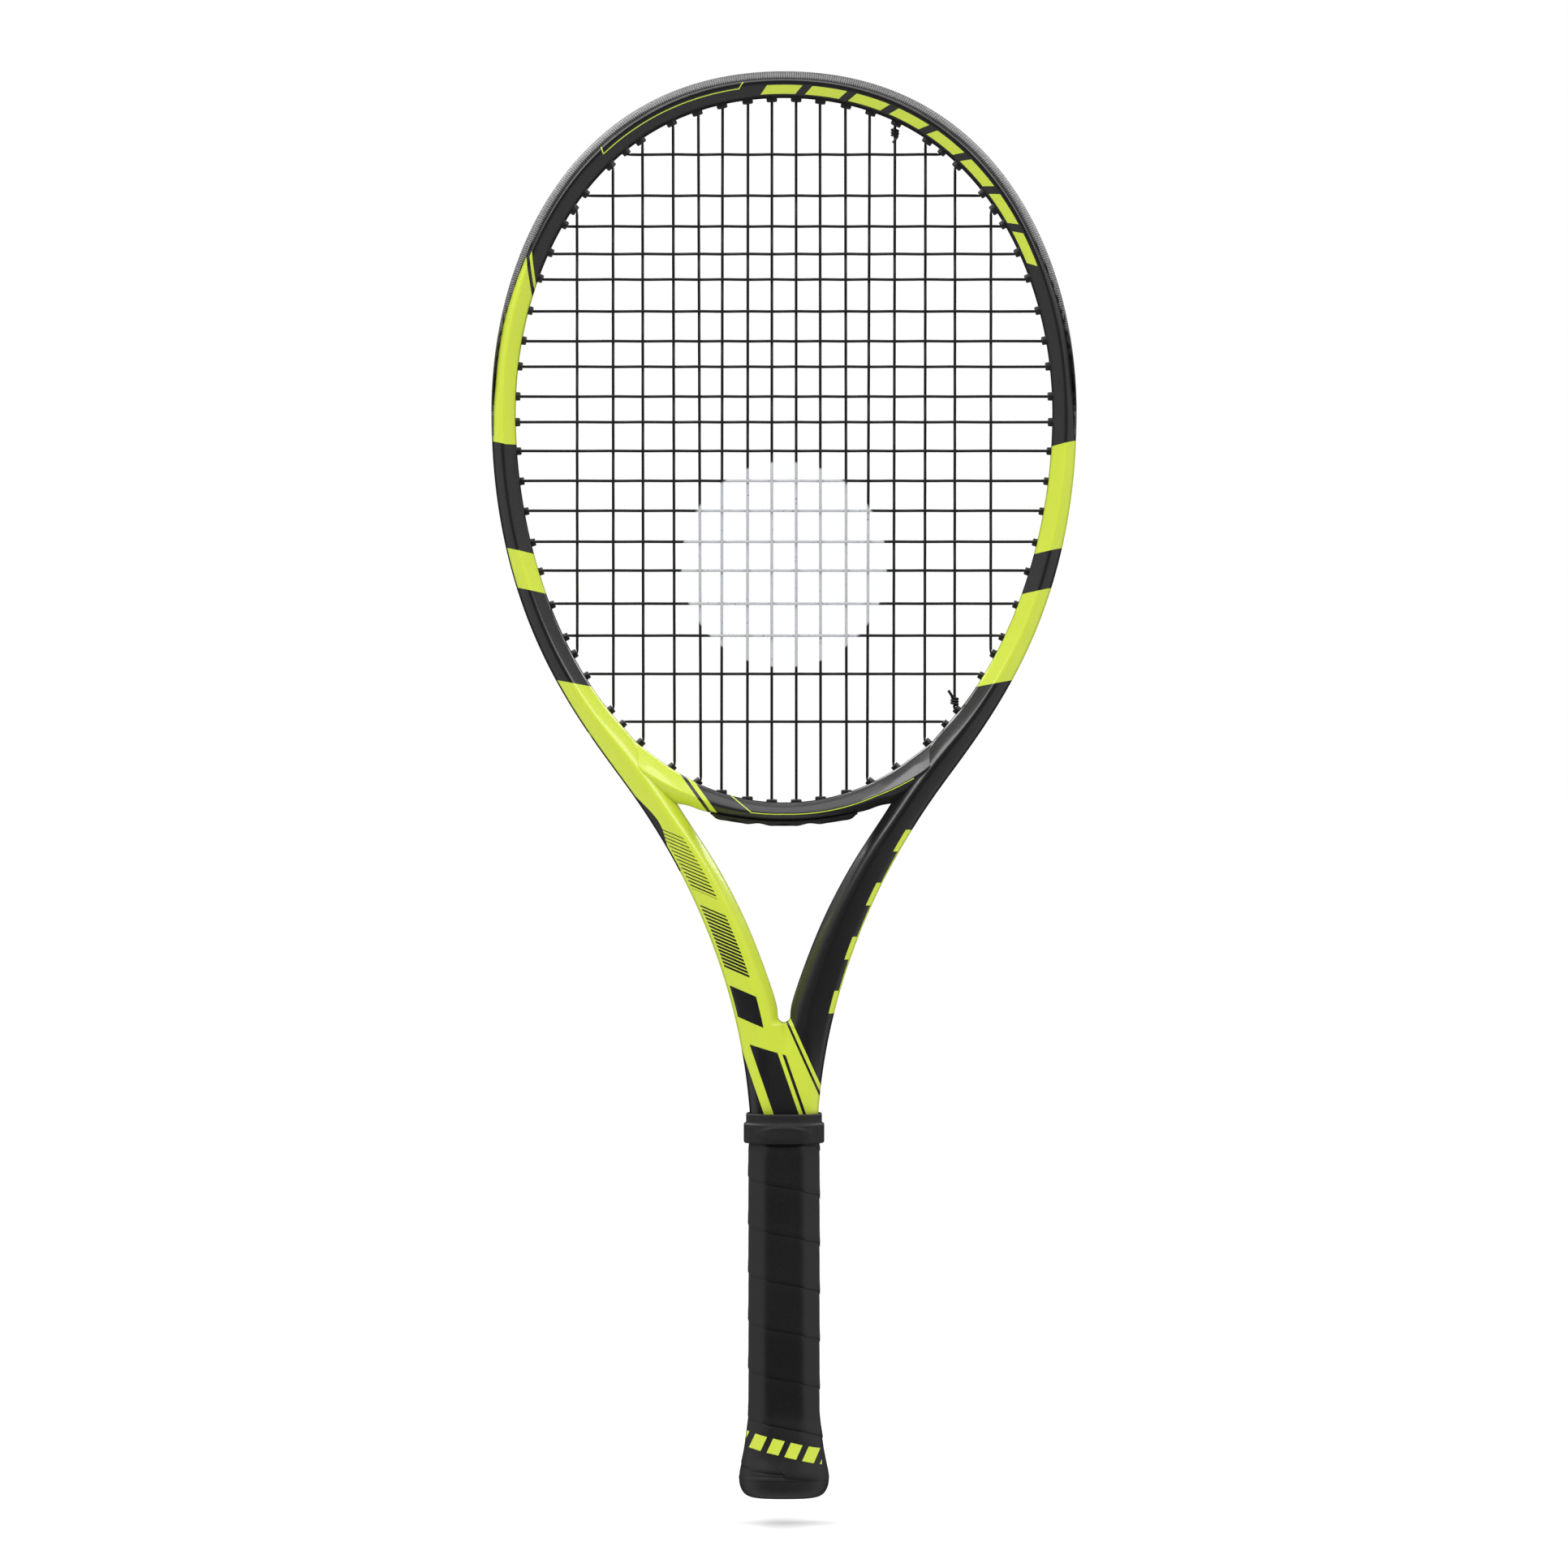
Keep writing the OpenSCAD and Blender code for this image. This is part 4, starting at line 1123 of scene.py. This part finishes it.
def octagon(w, z, corner=0.10, n=4, per_side=6):
    """A rounded octagon ring, counter-clockwise, with the same number of points at any size."""
    d, b = w - SQUARENESS, BEVEL * w
    pts = [vec(w / 2, b - d / 2), vec(w / 2, d / 2 - b), vec(w / 2 - b, d / 2), vec(b - w / 2, d / 2)]
    pts += [-p for p in pts]
    r = corner * w
    out = []
    for i in range(8):
        p, a, c = pts[i], pts[i - 1], pts[(i + 1) % 8]
        la, lc = norm(a - p), norm(c - p)
        ra, rc = min(r, 0.48 * la), min(r, 0.48 * lc)
        s, e = p + (a - p) / la * ra, p + (c - p) / lc * rc
        out += [bend(s, p, e, k / n) for k in range(n + 1)]
        side = c + (p - c) / lc * rc - e
        out += [e + side * k / per_side for k in range(1, per_side)]
    return np.column_stack([np.array(out), np.full(len(out), float(z))])


ROUND = octagon(33, 0)
N_ROUND = len(ROUND)
# By height: the corners' radius as a share of the width, and the width over the flare at the butt.
CORNERS = [(0, 0.34), (9, 0.28), (20, 0.16), (40, 0.06), (170, 0.06)]
FLARE = [
    (0, 31.6), (1.2, 36.6), (3.5, 40), (7, 41.6), (10.5, 41.8), (14, 40.4), (20, 37.6), (29, 35.4),
    (38, GRIP_WIDTH), (163, GRIP_WIDTH), (168, 30.4),
]


def handle_width(z):
    return soft_look(FLARE, z, 2.2) if z > 9 else look(FLARE, z)


PITCH = 22.2
# One long ribbon, wound up from the butt: each turn's lower edge lies on the turn below it.
RIBBON = [  # across the ribbon: height above its lower edge, offset from the handle's surface
    (0.0, -0.35), (-0.02, 0.02), (0.10, 0.16), (0.45, 0.21), (1.6, 0.20), (3.6, 0.10), (7.0, 0.0),
    (12.0, -0.02), (17.0, -0.04), (20.5, -0.10), (22.0, -0.22), (23.6, -0.42), (23.6, -1.1), (12.0, -1.2),
    (1.0, -1.2),
]
GRIP_LOW, GRIP_TOP = 8.7, 168.0
# The ribbon's lower edge crosses the left of the front at this height, one turn up from the foot.
EDGE_LEFT = 15.6
left_i = int(np.argmin(ROUND[:, 0] + 0.001 * np.abs(ROUND[:, 1] + 8)))
cache = {}


def grip_ring(z, off):
    """The handle's outline at a height, moved outwards by off."""
    key = (round(z, 3), round(off, 3))
    if key not in cache:
        cache[key] = octagon(handle_width(z) + 2 * off, z, look(CORNERS, z))
    return cache[key]


arc = np.concatenate([[0], np.cumsum(norm(np.diff(np.vstack([ROUND, ROUND[:1]]), axis=0), axis=1))])
arc /= arc[-1]
rings = []
# Across the front the winding goes up to the left, against the outline's counter-clockwise points.
for j in range(int((GRIP_TOP - GRIP_LOW) / PITCH + 3.2) * N_ROUND):
    i = (left_i - j) % N_ROUND
    z0 = EDGE_LEFT + PITCH * (j // N_ROUND + (arc[left_i] - arc[i]) % 1.0 - 2)
    if z0 > GRIP_TOP - 0.5:
        break
    ring = []
    for dz, off in RIBBON:
        z = min(max(z0 + dz, GRIP_LOW + (0.02 if dz > 0 else 0)), GRIP_TOP)
        ring.append(grip_ring(z, off)[i])
    rings.append(ring)
shape = Shape()
shape.loft(rings, flip=True)
grip = piece("grip_wrap", shape, "grip", "grip_cover", merge=0.01, sharp=40)

# The butt cap: a bare rounded rim below the grip, hollow for the foam, with a seat for the trap door.
CAP_LEVELS = [  # height, width, corner
    (38, 29.3, 0.06), (29, 31.7, 0.06), (20, 33.9, 0.1), (12, 37.4, 0.2), (10.9, 39.6, 0.24),
    (10.4, 41.3, 0.28), (9.6, 41.8, 0.3), (8, 41.8, 0.3), (6.4, 41.5, 0.3), (5, 41.0, 0.3), (3.8, 40.2, 0.3),
    (2.8, 39.2, 0.3), (1.9, 37.9, 0.3), (1.2, 36.4, 0.3), (0.6, 34.6, 0.3), (0.2, 32.8, 0.3), (0.0, 31.2, 0.3),
]
door_lo, door_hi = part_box("trap_door")
DOOR_W, DOOR_D = (door_hi.x - door_lo.x) / MM, (door_hi.y - door_lo.y) / MM
PLATE_POWER = 6.0


def plate_ring(wx, wy, z):
    """A rounded rectangle with the octagon's number of points, matched by angle."""
    out = []
    for angle in np.arctan2(ROUND[:, 1], ROUND[:, 0]):
        c, s = math.cos(angle), math.sin(angle)
        r = (abs(c / (wx / 2)) ** PLATE_POWER + abs(s / (wy / 2)) ** PLATE_POWER) ** (-1 / PLATE_POWER)
        out.append([r * c, r * s, z])
    return np.array(out)


rings = [octagon(w, z, c) for z, w, c in CAP_LEVELS]
rings += [plate_ring(DOOR_W + gap, DOOR_D + gap, z) for gap, z in ((1.2, 0.0), (0.5, 0.25), (0.4, 2.0))]
rings += [plate_ring(17.4, 11.4, 2.0), plate_ring(17.4, 11.4, 4.0)]
rings += [octagon(27.3, 4.0, 0.06), octagon(27.3, 38, 0.06)]
shape = Shape()
shape.loft(rings, closed=True)
piece("butt_cap_shell", shape, "butt_cap", "cap_plastic", sharp=35)

# The trap door: a lipped plate with a finger groove, and two tabs inside.
DOOR_LEVELS = [  # height, width, depth
    (4.0, 16.4, 10.4), (4.0, 16.9, 10.9), (2.0, 17.0, 11.0), (1.8, 19.6, 13.6), (1.55, 20.0, 14.0),
    (0.6, 20.0, 14.0), (0.35, 19.6, 13.6), (0.3, 19.0, 13.0), (0.3, 12.6, 6.2), (0.42, 12.2, 5.8),
    (0.8, 11.6, 5.2), (0.9, 11.0, 4.6),
]
shape = Shape()
shape.loft([plate_ring(wx, wy, z) for z, wx, wy in DOOR_LEVELS])
for side in (-1, 1):
    low, high = sorted((side * 5.5, side * 4.3))
    ys = np.array([low, high, high, low])
    rings = []
    for z, s in ((3.9, 1.0), (9.0, 1.0), (9.7, 0.9), (10.0, 0.75)):
        tab = [np.array([-4, -4, 4, 4]) * s, (ys - ys.mean()) * s + ys.mean(), np.full(4, z)]
        rings.append(np.column_stack(tab))
    shape.loft(rings, flip=True)
piece("trap_door_plate", shape, "trap_door", "cap_plastic", body="trap_door", sharp=35)

# The rubber collar, with a lens-shaped raised panel on its front and its back.
COLLAR_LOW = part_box("rubber_collar")[0].z / MM
COLLAR_LEVELS = [(0.0, 35.4), (0.12, 36.4), (0.5, 37.1), (1.0, 37.3)]  # height above its foot, width
COLLAR_LEVELS += [(h, 37.35) for h in np.arange(1.4, 8.2, 0.4)]
COLLAR_LEVELS += [
    (8.6, 37.3), (8.9, 36.9), (9.1, 36.1), (9.3, 35.5), (9.7, 35.2), (11.5, 35.15), (12.9, 35.2), (13.3, 35.0),
    (13.6, 34.6), (13.7, 34.2),
]


def collar_ring(w, h):
    return octagon(w, COLLAR_LOW + h, 0.11, 5, 24)


def raised(ring):
    """The ring with the lens-shaped panels pushed out of its front and its back."""
    h = ring[0][2] - COLLAR_LOW
    for p in ring:
        lens = 1 - (p[0] / 13.5) ** 2 - ((h - 4.7) / 3.3) ** 2
        if abs(p[1]) > 12 and lens > -0.3:
            p[1] += math.copysign(0.42 * smooth(-0.05, 0.22, lens), p[1])
    return ring


rings = [raised(collar_ring(w, h)) for h, w in COLLAR_LEVELS] + [collar_ring(33.75, h) for h in (13.7, 0.0)]
shape = Shape()
shape.loft(rings, closed=True, flip=True)
piece("collar_shell", shape, "rubber_collar", "collar_rubber", body="collar", sharp=50)

CAD_LOOKS = {"handle_foam": FOAM, "butt_cap_staples": STEEL, "grip_staple": STEEL, "finishing_tape": TAPE}
for name, material in CAD_LOOKS.items():
    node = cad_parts[name]
    node.data.materials.clear()
    node.data.materials.append(material)

# ---------- floor, light and camera

# The floor is plain and pale, and turns into the white of the studio further out.
FLOOR = -0.0125  # room below for the trap door, which is pulled out downwards
REACH = 40.0
paint = Look("floor_pale", rough=0.6)
spread = (paint.x * paint.x + paint.y * paint.y).root().ramp(500.0, 2200.0, 0.5, 1.0)
paint.color(paint.mix(spread, (0.95, 0.95, 0.95), (0.0, 0.0, 0.0)))
paint.link("Emission Strength", spread)
paint.shader.inputs["Emission Color"].default_value = (1, 1, 1, 1)
corners = [(x * REACH, y * REACH, FLOOR) for x, y in ((-1, -1), (1, -1), (1, 1), (-1, 1))]
ground = bpy.data.meshes.new("floor")
ground.from_pydata(corners, [], [(0, 1, 2, 3)])
floor = placed("floor", ground)
ground.materials.append(paint.mat)
floor.visible_glossy = False  # the studio below the horizon is as dark as above it

# A white studio whose soft light comes more from the sides and above than from before and behind.
world = bpy.data.worlds.new("studio")
bpy.context.scene.world = world
world.use_nodes = True
tree = world.node_tree
sky = tree.nodes["Background"]
way = tree.nodes.new("ShaderNodeTexCoord")
split = tree.nodes.new("ShaderNodeSeparateXYZ")
tree.links.new(way.outputs["Generated"], split.inputs[0])
ahead = Ex(tree, split.outputs[1]).abs().ramp(0.20, 0.80, 0.50, 0.01)
seen = Ex(tree, tree.nodes.new("ShaderNodeLightPath").outputs["Is Camera Ray"])
strength = seen + (1.0 - seen) * ahead
tree.links.new(strength.value, sky.inputs["Strength"])
sky.inputs["Color"].default_value = (1, 1, 1, 1)


def softbox(name, place, target, size, power):
    """A square area light that points at the target."""
    light = bpy.data.lights.new(name, "AREA")
    light.size, light.energy = size, power
    obj = placed(name, light)
    obj.location = place
    obj.rotation_mode = "QUATERNION"
    obj.rotation_quaternion = (Vector(target) - Vector(place)).to_track_quat("-Z", "Y")


for end in (-1, 1):
    softbox("key", (-1.35, 1.5 * end, 2.1), (0, 0, 0.33), 1.3, 38)
    softbox("fill", (1.5, 1.5 * end, 1.9), (0, 0, 0.33), 1.3, 28)
softbox("top", (0, 0, 2.6), (0, 0, 0), 2.2, 30)

cam_data = bpy.data.cameras.new("camera")
camera = placed("camera", cam_data)
camera.location = (0, -3.0, 0.3302)
camera.rotation_euler = (math.radians(90), 0, 0)
cam_data.sensor_width = 36
cam_data.lens = 148.5
bpy.context.scene.camera = camera
bpy.context.scene.view_settings.view_transform = "Standard"
